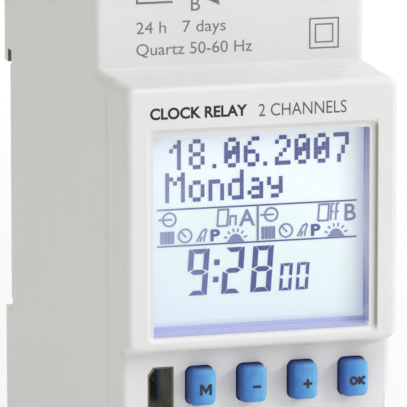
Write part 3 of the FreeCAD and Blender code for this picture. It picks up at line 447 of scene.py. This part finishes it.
# one material for each slot of the record
MATERIALS = {
    "casing_plastic": casing_plastic("casing_plastic"),
    "base_plastic": moulded("base_plastic", (0.70, 0.70, 0.69), gloss=0.5),
    "latch_plastic": moulded("latch_plastic", (0.66, 0.66, 0.65), gloss=0.45),
    "clear_window": clear_plastic("clear_window"),
    "lcd_glass": lit_glass("lcd_glass"),
    "frame_plastic": moulded("frame_plastic", (0.82, 0.83, 0.83), gloss=0.5),
    "guide_acrylic": moulded("guide_acrylic", (0.86, 0.90, 0.94), gloss=0.3, grain=0.4),
    "contact_rubber": moulded("contact_rubber", (0.20, 0.20, 0.22), gloss=0.75, grain=0.1),
    "board_laminate": laminate("board_laminate"),
    "chip_plastic": moulded("chip_plastic", (0.035, 0.035, 0.038), gloss=0.55, grain=0.1),
    "cell_steel": metal("cell_steel", (0.68, 0.68, 0.67), 0.25),
    "button_blue": key_plastic("button_blue"),
    "plunger_plastic": moulded("plunger_plastic", (0.05, 0.05, 0.055), gloss=0.5),
    "socket_plastic": socket_plastic("socket_plastic"),
    "contact_gold": metal("contact_gold", (0.85, 0.62, 0.20), 0.22),
    "film_box": moulded("film_box", (0.62, 0.42, 0.05), gloss=0.35, grain=0.3),
    "can_sleeve": moulded("can_sleeve", (0.03, 0.03, 0.045), gloss=0.3, grain=0.5),
    "disc_lacquer": moulded("disc_lacquer", (0.05, 0.12, 0.38), gloss=0.3, grain=0.6, depth=0.02),
    "relay_plastic": moulded("relay_plastic", (0.05, 0.055, 0.06), gloss=0.4),
    "coil_copper": winding("coil_copper"),
    "soft_iron": metal("soft_iron", (0.56, 0.56, 0.54), 0.38),
    "contact_brass": metal("contact_brass", (0.74, 0.58, 0.30), 0.3),
    "block_plastic": moulded("block_plastic", (0.42, 0.43, 0.42), gloss=0.55),
    "spring_steel": metal("spring_steel", (0.66, 0.66, 0.66), 0.25),
    "screw_steel": metal("screw_steel", (0.70, 0.70, 0.67), 0.28, lay=(1, 12, 1)),
    "cage_steel": metal("cage_steel", (0.62, 0.61, 0.57), 0.35),
}
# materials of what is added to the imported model
CARRIER = moulded("carrier_plastic", (0.06, 0.16, 0.62), gloss=0.45, grain=0.2)
BLACK_INK = print_ink("black_ink", (0.014, 0.014, 0.015))
GREY_INK = print_ink("grey_ink", (0.20, 0.21, 0.21))
MID_INK = print_ink("mid_ink", (0.10, 0.105, 0.105))
KEY_INK = print_ink("key_ink", (0.025, 0.02, 0.05))
SEGMENT = segment_ink("segment", 1.0)
PALE_SEGMENT = segment_ink("pale_segment", 0.60)


def dress_nodes():
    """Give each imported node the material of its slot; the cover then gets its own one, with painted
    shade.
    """
    for part in frame["record"]["subparts"]:
        node = frame["nodes"][part["node"]]
        node.material_slots[0].material = MATERIALS[part["material_slot"]]
    frame["nodes"]["front_cover"].material_slots[0].material = cover_plastic("cover_plastic")


# ---------------------------------------------------------------- flat shapes facing the front
def offset_line(points, distance, closed):
    """The line moved sideways by a distance, with mitred corners."""
    moved = []
    last = len(points) - 1
    for index, point in enumerate(points):
        before = points[index - 1] if index > 0 or closed else None
        after = points[(index + 1) % len(points)] if index < last or closed else None
        sides = []
        for start, end in ((before, point), (point, after)):
            if start is not None and end is not None:
                run = (Vector(end) - Vector(start)).normalized()
                sides.append(Vector((-run.y, run.x)))
        middle = sum(sides, Vector((0, 0))).normalized()
        moved.append(Vector(point) + middle * (distance / middle.dot(sides[0])))
    return moved


def add_stroke(bm, points, width, front, back, closed=False):
    """A line of one width between two depths, as a closed solid."""
    edges = [offset_line(points, side * width / 2, closed) for side in (1, -1)]
    rows = [[bm.verts.new((x, depth, z)) for x, z in edge] for edge in edges for depth in (front, back)]
    left, left_back, right, right_back = rows
    count = len(points)
    for i in range(count if closed else count - 1):
        j = (i + 1) % count
        bm.faces.new((left[i], left[j], right[j], right[i]))
        bm.faces.new((left_back[j], left_back[i], right_back[i], right_back[j]))
        bm.faces.new((left[j], left[i], left_back[i], left_back[j]))
        bm.faces.new((right[i], right[j], right_back[j], right_back[i]))
    if not closed:
        bm.faces.new((left[0], right[0], right_back[0], left_back[0]))
        bm.faces.new((right[-1], left[-1], left_back[-1], right_back[-1]))


def add_patch(bm, points, front, back):
    """A filled outline between two depths, as a closed solid."""
    near = [bm.verts.new((x, front, z)) for x, z in points]
    far = [bm.verts.new((x, back, z)) for x, z in points]
    bm.faces.new(near)
    bm.faces.new(far[::-1])
    for i in range(len(points)):
        j = (i + 1) % len(points)
        bm.faces.new((near[j], near[i], far[i], far[j]))


def round_line(x, z, radius, start=0.0, end=360.0, steps=32):
    """Points on an arc, in degrees anticlockwise from +X; a full circle leaves out its last point."""
    full = end - start >= 360.0
    count = steps if full else steps + 1
    turns = [math.radians(start + (end - start) * i / steps) for i in range(count)]
    return [(x + radius * math.cos(turn), z + radius * math.sin(turn)) for turn in turns]


def shifted(points, x, z):
    """Points given in millimetres from a place; the place and the result are in metres."""
    return [(x + along * MM, z + up * MM) for along, up in points]


def rectangle(left, right, low, high):
    """Corners of a rectangle, anticlockwise from the lower left."""
    return [(left, low), (right, low), (right, high), (left, high)]


def piece_from(name, bm, body, material):
    """The drawn faces as a visible piece that rides on a body, with outward normals."""
    bmesh.ops.recalc_face_normals(bm, faces=bm.faces)
    mesh = bpy.data.meshes.new(name)
    bm.to_mesh(mesh)
    bm.free()
    mesh.materials.append(material)
    piece = bpy.data.objects.new(name, mesh)
    scene.collection.objects.link(piece)
    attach(piece, body)
    return piece


def letters(name, text, body, material, left, right, low, high, front, thick=INK_THICK, weight=0.0):
    """Printed words, stretched to fill a rectangle on a plane facing the front.

    The weight thickens the strokes, as a share of the font's size. The extrusion only has to be
    above zero, because the depth is set to thick afterwards.
    """
    curve = bpy.data.curves.new(name, "FONT")
    curve.body = text
    curve.offset = weight
    curve.extrude = 0.05
    curve.resolution_u = 5
    shape = bpy.data.objects.new(name, curve)
    scene.collection.objects.link(shape)
    bpy.context.view_layer.update()
    mesh = bpy.data.meshes.new_from_object(shape)
    bpy.data.objects.remove(shape)
    bpy.data.curves.remove(curve)
    spots = [vertex.co.copy() for vertex in mesh.vertices]
    lows = [min(spot[axis] for spot in spots) for axis in range(3)]
    spans = [max(spot[axis] for spot in spots) - lows[axis] for axis in range(3)]
    for vertex, spot in zip(mesh.vertices, spots):
        share = [(spot[axis] - lows[axis]) / spans[axis] for axis in range(3)]
        x = left + share[0] * (right - left)
        z = low + share[1] * (high - low)
        vertex.co = (x, front - share[2] * thick, z)
    bm = bmesh.new()
    bm.from_mesh(mesh)
    bmesh.ops.remove_doubles(bm, verts=bm.verts, dist=0.001 * MM)
    bpy.data.meshes.remove(mesh)
    return piece_from(name, bm, body, material)


# ---------------------------------------------------------------- display contents
# dots of each glyph, row by row from the top
GLYPHS = {
    "0": (".##.", "#..#", "#.##", "####", "##.#", "#..#", ".##."),
    "1": ("..#.", ".##.", "#.#.", "..#.", "..#.", "..#.", "..#."),
    "2": (".##.", "#..#", "...#", "..#.", ".#..", "#...", "####"),
    "6": ("..##", ".#..", "#...", "###.", "#..#", "#..#", ".##."),
    "7": ("####", "...#", "...#", "..#.", "..#.", ".#..", ".#.."),
    "8": (".##.", "#..#", "#..#", ".##.", "#..#", "#..#", ".##."),
    ".": ("..", "..", "..", "..", "..", "..", "#."),
    " ": ("", "", "", "", "", "", ""),
    "M": ("#...#", "##.##", "#.#.#", "#...#", "#...#", "#...#", "#...#"),
    "o": ("....", "....", ".##.", "#..#", "#..#", "#..#", ".##."),
    "n": ("....", "....", "###.", "#..#", "#..#", "#..#", "#..#"),
    "d": ("...#", "...#", ".###", "#..#", "#..#", "#..#", ".###"),
    "a": ("....", "....", ".##.", "...#", ".###", "#..#", ".###"),
    "y": ("....", "....", "#..#", "#..#", ".###", "...#", ".##."),
}
# pitch and size of the dots, across and up
DOT_STEP = (0.512 * MM, 0.545 * MM)
DOT_SIZE = (0.49 * MM, 0.53 * MM)

# lit segments of each digit, and how far the digits lean to the right per height
SEGMENTS = {"0": "abcdef", "2": "abdeg", "8": "abcdefg", "9": "abcdfg"}
SLANT = 0.07

# the ink of the display floats just in front of the glass
SEGMENT_THICK = 0.03 * MM
SEGMENT_LIFT = 0.05 * MM
SEGMENT_BACK = PANEL - SEGMENT_LIFT
SEGMENT_FRONT = SEGMENT_BACK - SEGMENT_THICK


def add_dots(bm, text, left, top):
    """Dot-matrix words with one empty column after each glyph; a space is that column alone."""
    column = 0
    for letter in text:
        rows = GLYPHS[letter]
        for row, dots in enumerate(rows):
            for offset, dot in enumerate(dots):
                if dot == "#":
                    x = left + (column + offset) * DOT_STEP[0]
                    z = top - row * DOT_STEP[1]
                    corners = rectangle(x, x + DOT_SIZE[0], z - DOT_SIZE[1], z)
                    add_patch(bm, corners, SEGMENT_FRONT, SEGMENT_BACK)
        column += len(rows[0]) + 1


def segment_outlines(wide, tall, stroke):
    """Outline of each of the seven segments of a digit, from its lower left corner.

    The ends are mitred, with a gap between neighbours.
    """
    gap = 0.09 * MM
    middle = tall / 2
    mitre = 0.3 * stroke
    cap = 0.85 * stroke
    point = 0.45 * stroke
    end = mitre + gap

    def upright(x, way_x, z, way_z):
        inner = x + way_x * stroke
        return [
            (x, z),
            (x + way_x * mitre, z),
            (inner, z - way_z * (stroke - mitre)),
            (inner, middle + way_z * (gap + point)),
            (x, middle + way_z * gap),
        ]

    def bar(z, way_z):
        inner = z - way_z * cap
        return [(end, z), (wide - end, z), (wide - end - cap, inner), (end + cap, inner)]

    def middle_bar():
        left, right = stroke + gap, wide - stroke - gap
        upper, lower = middle + point, middle - point
        return [
            (0.5 * stroke, middle),
            (left, upper),
            (right, upper),
            (wide - 0.5 * stroke, middle),
            (right, lower),
            (left, lower),
        ]

    return {
        "a": bar(tall, 1),
        "b": upright(wide, -1, tall, 1),
        "c": upright(wide, -1, 0, -1),
        "d": bar(0, -1),
        "e": upright(0, 1, 0, -1),
        "f": upright(0, 1, tall, 1),
        "g": middle_bar(),
    }


def add_digit(bm, digit, left, low, wide, tall, stroke):
    """One leaning seven-segment digit."""
    outlines = segment_outlines(wide, tall, stroke)
    for letter in SEGMENTS[digit]:
        leaned = [(left + x + SLANT * z, low + z) for x, z in outlines[letter]]
        add_patch(bm, leaned, SEGMENT_FRONT, SEGMENT_BACK)


def add_line(bm, points, width, closed=False, lift=0.0):
    """A display line; one that crosses another is lifted a little, so no faces coincide."""
    add_stroke(bm, points, width, SEGMENT_FRONT - lift, SEGMENT_BACK, closed)


def make_dot_text():
    """The date, one column further in, and the weekday below it."""
    left = -12.03 * MM
    date_top, weekday_top = 15.2 * MM, 11.05 * MM
    bm = bmesh.new()
    add_dots(bm, "18 .06.2007", left + DOT_STEP[0], date_top)
    piece_from("display_date", bm, "casing", SEGMENT)
    bm = bmesh.new()
    add_dots(bm, "Monday", left, weekday_top)
    piece_from("display_weekday", bm, "casing", SEGMENT)


def make_rules():
    """Two long rules and the upright one that part the two channels."""
    left, right, centre = -13.13 * MM, 13.1 * MM, 0.05 * MM
    upper, lower, gap = 6.38 * MM, 1.69 * MM, 0.15 * MM
    bm = bmesh.new()
    for level in (upper, lower):
        add_line(bm, [(left, level), (right, level)], 0.2 * MM)
    piece_from("display_rules", bm, "casing", SEGMENT)
    bm = bmesh.new()
    add_line(bm, [(centre, lower + gap), (centre, upper - gap)], 0.3 * MM)
    piece_from("display_divider", bm, "casing", PALE_SEGMENT)


# letters of the state words, in millimetres: the width each takes up, and its strokes
SMALL_SIGNS = {
    "O": (1.65, [[(0, 0), (1.3, 0), (1.45, 2.1), (0.15, 2.1), (0, 0)]]),
    "n": (1.1, [[(0, 0), (0.06, 1.2), (0.8, 1.2), (0.74, 0)]]),
    "f": (0.66, [[(0, 0), (0.15, 2.1), (0.5, 2.1)], [(0.1, 1.1), (0.42, 1.1)]]),
}
# radius of the circle in the plug sign and in the clock sign
SIGN_RADIUS = 0.84 * MM
# outline of the hand sign, and the line inside it, in millimetres from its lower left corner
HAND_OUTLINE = [(0.0, 0.1), (0.75, 1.45), (1.2, 1.7), (1.3, 1.5), (1.05, 0.75), (0.95, 0.1)]
HAND_LINE = [(0.4, 0.05), (0.7, 0.75)]


def make_channel(name, letter, state, circle_x, word_x, letter_span, icons_x):
    """One channel's cell: plug sign, state word, channel letter and a row of mode signs."""
    bm = bmesh.new()
    thin = 0.24 * MM
    circle_z = 5.1 * MM
    pin = shifted([(-1.45, 0), (0.35, 0)], circle_x, circle_z)
    add_line(bm, round_line(circle_x, circle_z, SIGN_RADIUS), thin, closed=True)
    add_line(bm, pin, thin, lift=INK_STEP)
    x, word_low = word_x, 3.95 * MM
    for sign in state:
        wide, strokes = SMALL_SIGNS[sign]
        for index, stroke in enumerate(strokes):
            add_line(bm, shifted(stroke, x, word_low), thin, lift=index * INK_STEP)
        x += wide * MM
    add_mode_signs(bm, icons_x)
    piece_from(f"display_{name}_signs", bm, "casing", PALE_SEGMENT)
    left, right = letter_span
    low, high = 3.78 * MM, 5.95 * MM
    letters(f"display_{name}_letter", letter, "casing", PALE_SEGMENT,
            left, right, low, high, SEGMENT_BACK, SEGMENT_THICK, weight=0.012)
    left, right = icons_x + 6.55 * MM, icons_x + 7.8 * MM
    low, high = 2.05 * MM, 3.58 * MM
    letters(f"display_{name}_pulse", "P", "casing", SEGMENT,
            left, right, low, high, SEGMENT_BACK, SEGMENT_THICK, weight=0.035)


def add_mode_signs(bm, left):
    """Hatched square, clock, hand and sun, side by side above the lower rule."""
    low = 1.98 * MM
    thin = 0.22 * MM
    bar_pitch, bar_wide, bar_tall = 0.47 * MM, 0.42 * MM, 1.6 * MM
    for bar in range(4):
        x = left + bar * bar_pitch
        corners = rectangle(x, x + bar_wide, low, low + bar_tall)
        add_patch(bm, corners, SEGMENT_FRONT, SEGMENT_BACK)
    clock_x, clock_z = left + 3.25 * MM, 2.94 * MM
    add_line(bm, round_line(clock_x, clock_z, SIGN_RADIUS), thin, closed=True)
    add_line(bm, shifted([(-0.5, 0.5), (0.15, -0.2)], clock_x, clock_z), thin)
    hand_x = left + 4.75 * MM
    add_line(bm, shifted(HAND_OUTLINE, hand_x, low), thin)
    add_line(bm, shifted(HAND_LINE, hand_x, low), thin)
    add_sun(bm, left + 9.85 * MM, low, thin)


def add_sun(bm, x, low, thin):
    """Half a disc on a flat base, with six rays."""
    disc = round_line(x, low, 0.86 * MM, start=15, end=165, steps=18)
    base = shifted([(-1.2, -0.15), (1.2, -0.15)], x, low)
    add_patch(bm, base + disc, SEGMENT_FRONT, SEGMENT_BACK)
    ray_start, ray_end = 1.15 * MM, 1.6 * MM
    for angle in (20, 50, 78, 102, 130, 160):
        turn = math.radians(angle)
        out = (math.cos(turn), math.sin(turn))
        ray = [(x + reach * out[0], low + reach * out[1]) for reach in (ray_start, ray_end)]
        add_line(bm, ray, thin)


def make_time():
    """Large hours and minutes, their colon, and small seconds."""
    low = -4.78 * MM
    wide, tall, stroke = 2.7 * MM, 5.92 * MM, 0.7 * MM
    bm = bmesh.new()
    for digit, left in (("9", -9.35), ("2", -4.75), ("8", -0.93)):
        add_digit(bm, digit, left * MM, low, wide, tall, stroke)
    leaning_dot = [(0, 0), (0.72, 0), (0.77, 0.72), (0.05, 0.72)]
    for level in (1.55, 3.75):
        x = (-5.95 + SLANT * level) * MM
        dot = shifted(leaning_dot, x, low + level * MM)
        add_patch(bm, dot, SEGMENT_FRONT, SEGMENT_BACK)
    piece_from("display_time", bm, "casing", SEGMENT)
    bm = bmesh.new()
    for left in (2.86, 5.05):
        add_digit(bm, "0", left * MM, low, 1.6 * MM, 3.5 * MM, 0.42 * MM)
    piece_from("display_seconds", bm, "casing", SEGMENT)


def make_display_band():
    """Violet band beside and below the lit field, and a painted reflection of it up the walls of the
    clear window.
    """
    bm = bmesh.new()
    add_band_on_glass(bm)
    add_band_on_window(bm)
    piece_from("display_band", bm, "casing", band_shade("band_shade"))


def add_band_on_glass(bm):
    """Three flat strips along the lower, left and right edges of the glass."""
    margin = 0.1 * MM
    left, right = panel_low.x + margin, panel_high.x - margin
    low, high = panel_low.z + margin, panel_high.z - margin
    field_left, field_right, field_low = -13.6 * MM, 14.02 * MM, -8.6 * MM
    front, back = PANEL - 0.02 * MM, PANEL - 0.005 * MM
    strips = [
        rectangle(left, right, low, field_low),
        rectangle(left, field_left, field_low, high),
        rectangle(field_right, right, field_low, high),
    ]
    for strip in strips:
        add_patch(bm, strip, front, back)


def add_band_on_window(bm):
    """Painted reflection of the display: a thin skin on three sides of the window's raised part, and a
    strip on the cover's ledge below.
    """
    left, right = lens_low.x + LENS_FLANGE, lens_high.x - LENS_FLANGE
    low, high = lens_low.z + LENS_FLANGE, lens_high.z - LENS_FLANGE
    walls = [(left, high), (left, low), (right, low), (right, high)]
    reflection_skin = 0.03 * MM
    add_stroke(bm, walls, reflection_skin, lens_low.y - 0.3 * MM, PANEL - reflection_skin)
    ledge = lens_low.y - 0.4 * MM
    strip_tall, corner_cut = 0.3 * MM, 0.2 * MM
    strip = [(left, low - strip_tall), (right - corner_cut, low - strip_tall), (right, low), (left, low)]
    add_patch(bm, strip, ledge - 0.02 * MM, ledge)


def make_display():
    """Everything that the display shows, from its top to its bottom, and its violet band with its
    painted reflection.
    """
    make_dot_text()
    make_rules()
    make_channel("first", "A", "On", circle_x=-11.5 * MM, word_x=-5.25 * MM,
                 letter_span=(-2.42 * MM, -0.3 * MM), icons_x=-12.7 * MM)
    make_channel("second", "B", "Off", circle_x=1.82 * MM, word_x=8.0 * MM,
                 letter_span=(11.5 * MM, 13.0 * MM), icons_x=0.52 * MM)
    make_time()
    make_display_band()


# ---------------------------------------------------------------- printing on the casing
def make_header():
    """Two plain words for what the object does, above the window."""
    letters("print_kind", "CLOCK RELAY", "casing", BLACK_INK,
            -14.7 * MM, -2.1 * MM, 18.35 * MM, 19.85 * MM, FACE, weight=0.03)
    letters("print_type", "2 CHANNELS", "casing", MID_INK,
            -0.6 * MM, 10.9 * MM, 18.2 * MM, 19.8 * MM, FACE, weight=-0.002)


def make_shoulder_print():
    """Two plain lines of words on the upper shoulder."""
    left = -12.4 * MM
    letters("print_program", "24 h   7 days", "casing", GREY_INK,
            left, -0.6 * MM, 26.3 * MM, 28.3 * MM, SHOULDER)
    letters("print_clock", "Quartz 50-60 Hz", "casing", GREY_INK,
            left, 2.9 * MM, 23.7 * MM, 25.5 * MM, SHOULDER)


def make_wiring_print():
    """Contact diagram of output B and the double-square insulation sign, on the upper shoulder."""
    front, back = SHOULDER - INK_THICK, SHOULDER
    letters("print_output", "B", "casing", GREY_INK,
            -5.2 * MM, -4.0 * MM, 29.5 * MM, 31.3 * MM, SHOULDER)
    bracket = [(-12.3, 33.2), (-12.3, 30.75), (-7.6, 30.75)]
    lead = [(-3.0, 30.95), (2.6, 30.95)]
    arrow_head = [(-3.3, 31.0), (-1.4, 30.1), (-1.55, 30.9)]
    bm = bmesh.new()
    for line in (bracket, lead):
        add_stroke(bm, shifted(line, 0, 0), 0.28 * MM, front, back)
    add_patch(bm, shifted(arrow_head, 0, 0), front, back)
    piece_from("print_diagram", bm, "casing", GREY_INK)
    bm = bmesh.new()
    centre_x, centre_z = 12.5 * MM, 25.9 * MM
    for half in (1.9 * MM, 1.15 * MM):
        square = rectangle(centre_x - half, centre_x + half, centre_z - half, centre_z + half)
        add_stroke(bm, square, 0.2 * MM, front, back, closed=True)
    piece_from("print_insulation", bm, "casing", GREY_INK)


def make_terminal_numbers():
    """One number beside each terminal, towards the outer edges; the 1 is a narrow glyph."""
    outward, half_tall = 4.6 * MM, 0.85 * MM
    for number in range(1, 9):
        low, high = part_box(f"terminal_screw_{number}")
        middle = (low + high) / 2
        way = 1 if middle.z > 0 else -1
        centre_z = middle.z + way * outward
        half_wide = (0.14 if number == 1 else 0.55) * MM
        letters(f"print_terminal_{number}", str(number), "casing", GREY_INK,
                middle.x - half_wide, middle.x + half_wide,
                centre_z - half_tall, centre_z + half_tall, SHOULDER)


# key legends: line width, how far they sit right of and below the key's middle, and their
# strokes in millimetres
LEGEND_WIDE = 0.36 * MM
LEGEND_SHIFT = Vector((0.3, 0, -0.25)) * MM
LEGEND_STROKES = {
    "menu": [
        [(-0.62, -0.72), (-0.62, 0.72)],
        [(0.62, -0.72), (0.62, 0.72)],
        [(-0.55, 0.62), (0.0, -0.25), (0.55, 0.62)],
    ],
    "minus": [[(-0.55, 0.0), (0.55, 0.0)]],
    "plus": [[(-0.6, 0.0), (0.6, 0.0)], [(0.0, -0.6), (0.0, 0.6)]],
    "ok": [[(0.12, -0.52), (0.12, 0.52)], [(0.85, 0.52), (0.24, 0.0), (0.85, -0.52)]],
}


def make_key_legends():
    """Dark legends on the four keys, M, -, + and OK; each rides with its key."""
    for key, strokes in LEGEND_STROKES.items():
        low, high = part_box(f"button_{key}")
        middle = (low + high) / 2 + LEGEND_SHIFT
        front, back = low.y - INK_THICK, low.y
        bm = bmesh.new()
        for index, stroke in enumerate(strokes):
            line = shifted(stroke, middle.x, middle.z)
            add_stroke(bm, line, LEGEND_WIDE, front - index * INK_STEP, back)
        if key == "ok":
            circle = round_line(0, 0, 1)
            ring = shifted([(0.38 * x - 0.62, 0.42 * z) for x, z in circle], middle.x, middle.z)
            add_stroke(bm, ring, LEGEND_WIDE, front, back, closed=True)
        piece_from(f"legend_{key}", bm, f"key_{key}", KEY_INK)


# ---------------------------------------------------------------- card socket
def make_contact_carrier():
    """Blue strip in front of the leaf contacts, on the same wall of the card socket."""
    leaf_low, leaf_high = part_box("card_contacts")
    left, right = leaf_low.x + 0.05 * MM, leaf_high.x
    low, high = leaf_low.z, leaf_high.z
    front, back = leaf_low.y - 0.9 * MM, leaf_low.y - 0.05 * MM
    corner = 0.15 * MM
    outline = [
        (left + corner, low),
        (right, low),
        (right, high),
        (left + corner, high),
        (left, high - corner),
        (left, low + corner),
    ]
    bm = bmesh.new()
    add_patch(bm, outline, front, back)
    piece_from("contact_carrier", bm, "casing", CARRIER)


# ---------------------------------------------------------------- latch spring
def make_latch_spring():
    """Open coil against the base plate's lug, in the place of the imported latch spring, which is
    hidden.
    """
    low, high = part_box("latch_spring")
    wire = 0.14 * MM
    pitch = 0.9 * MM
    radius = (high.x - low.x) / 2 - wire
    middle = (low + high) / 2
    start = Vector((middle.x, middle.y, low.z + wire))
    length = high.z - low.z - 2 * wire
    bm = bmesh.new()
    add_coil(bm, start, radius, wire, length, length / pitch)
    spring = piece_from("return_spring", bm, "casing", MATERIALS["spring_steel"])
    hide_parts("latch_spring")
    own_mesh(spring)


def add_coil(bm, start, radius, wire, length, turns, steps_per_turn=20, sides=8):
    """Round wire wound upwards around an axis through its start, closed at both ends."""
    steps = round(turns * steps_per_turn)
    rings = []
    for step in range(steps + 1):
        turn = 2 * math.pi * step / steps_per_turn
        out = Vector((math.cos(turn), math.sin(turn), 0))
        rise = length * step / steps
        centre = Vector((start.x, start.y, start.z + rise)) + out * radius
        ring = []
        for side in range(sides):
            angle = 2 * math.pi * side / sides
            up = Vector((0, 0, wire * math.sin(angle)))
            ring.append(bm.verts.new(centre + out * wire * math.cos(angle) + up))
        rings.append(ring)
    for ring, following in zip(rings, rings[1:]):
        for i in range(sides):
            j = (i + 1) % sides
            bm.faces.new((ring[i], ring[j], following[j], following[i]))
    bm.faces.new(rings[0])
    bm.faces.new(rings[-1][::-1])
    for face in bm.faces:
        face.smooth = True


# ---------------------------------------------------------------- floor, light and camera
# half the width of the floor, and the room left between it and the lowered latch
FLOOR_HALF = 4.0
FLOOR_ROOM = 0.2 * MM

LAMP_COLOUR = (0.94, 0.93, 1.0)
# lamps as (name, place, aim, width, power), in metres and watts; the first two light the object
# and the last one lights the floor behind it
LAMPS = (
    ("key", (1.1, -0.9, 0.6), (0, FACE, 0), 0.5, 7.9),
    ("top", (0.1, -0.6, 1.3), (0, FACE, 0), 1.2, 8),
    ("background", (0.35, 0.6, 0.5), (0.35, 0.6, 0), 0.6, 2.2),
)
SKY_COLOUR = (0.99, 1.0, 0.92)
SKY_STRENGTH = 0.485

# camera: the point it looks at, its distance from there, how far round to the left and how far
# up it stands, and its focal length
CAMERA_AIM = Vector((-7.79 * MM, FACE, 7.48 * MM))
CAMERA_DISTANCE = 703.7 * MM
CAMERA_YAW = math.radians(15.72)
CAMERA_PITCH = math.radians(10.85)
CAMERA_LENS = 497.1


def make_floor():
    """Pale floor, low enough for the rail latch to slide down above it."""
    bm = bmesh.new()
    bmesh.ops.create_grid(bm, x_segments=8, y_segments=8, size=FLOOR_HALF)
    for vertex in bm.verts:
        vertex.co.z = object_low.z - LATCH_TRAVEL - FLOOR_ROOM
    mesh = bpy.data.meshes.new("floor")
    bm.to_mesh(mesh)
    bm.free()
    floor = bpy.data.objects.new("floor", mesh)
    scene.collection.objects.link(floor)
    material, tree, shader = new_material("floor_paint")
    cloud = noise(tree, place(tree), 60.0, detail=3.0)
    shade = colours(tree, cloud, (0.3, (0.93, 0.93, 0.93)), (0.7, (0.95, 0.95, 0.95)))
    tree.links.new(shade, shader.inputs["Base Color"])
    shader.inputs["Roughness"].default_value = 0.8
    mesh.materials.append(material)


def make_lamp(name, place_at, aim, size, power):
    """A round area lamp turned towards its aim."""
    lamp = bpy.data.lights.new(name, "AREA")
    lamp.shape = "DISK"
    lamp.size = size
    lamp.energy = power
    lamp.color = LAMP_COLOUR
    holder = bpy.data.objects.new(name, lamp)
    holder.location = place_at
    holder.rotation_mode = "QUATERNION"
    holder.rotation_quaternion = (Vector(aim) - Vector(place_at)).to_track_quat("-Z", "Y")
    scene.collection.objects.link(holder)


def make_light():
    """Even, nearly white surroundings and three soft lamps."""
    world = bpy.data.worlds.new("studio")
    world.use_nodes = True
    sky = world.node_tree.nodes["Background"]
    sky.inputs["Color"].default_value = (*SKY_COLOUR, 1)
    sky.inputs["Strength"].default_value = SKY_STRENGTH
    scene.world = world
    scene.view_settings.view_transform = "Standard"
    for lamp in LAMPS:
        make_lamp(*lamp)


def make_camera():
    """Long lens, a little above and to the left of the front."""
    level = math.cos(CAMERA_PITCH)
    look = Vector((math.sin(CAMERA_YAW) * level, math.cos(CAMERA_YAW) * level, -math.sin(CAMERA_PITCH)))
    lens = bpy.data.cameras.new("camera")
    lens.sensor_width = 36
    lens.lens = CAMERA_LENS
    lens.clip_start = 0.05
    lens.clip_end = 20
    camera = bpy.data.objects.new("camera", lens)
    camera.location = CAMERA_AIM - look * CAMERA_DISTANCE
    camera.rotation_mode = "QUATERNION"
    camera.rotation_quaternion = look.to_track_quat("-Z", "Y")
    scene.collection.objects.link(camera)
    scene.camera = camera


dress_nodes()
make_display()
make_header()
make_shoulder_print()
make_wiring_print()
make_terminal_numbers()
make_key_legends()
make_contact_carrier()
make_latch_spring()
make_floor()
make_light()
make_camera()

bpy.context.view_layer.update()
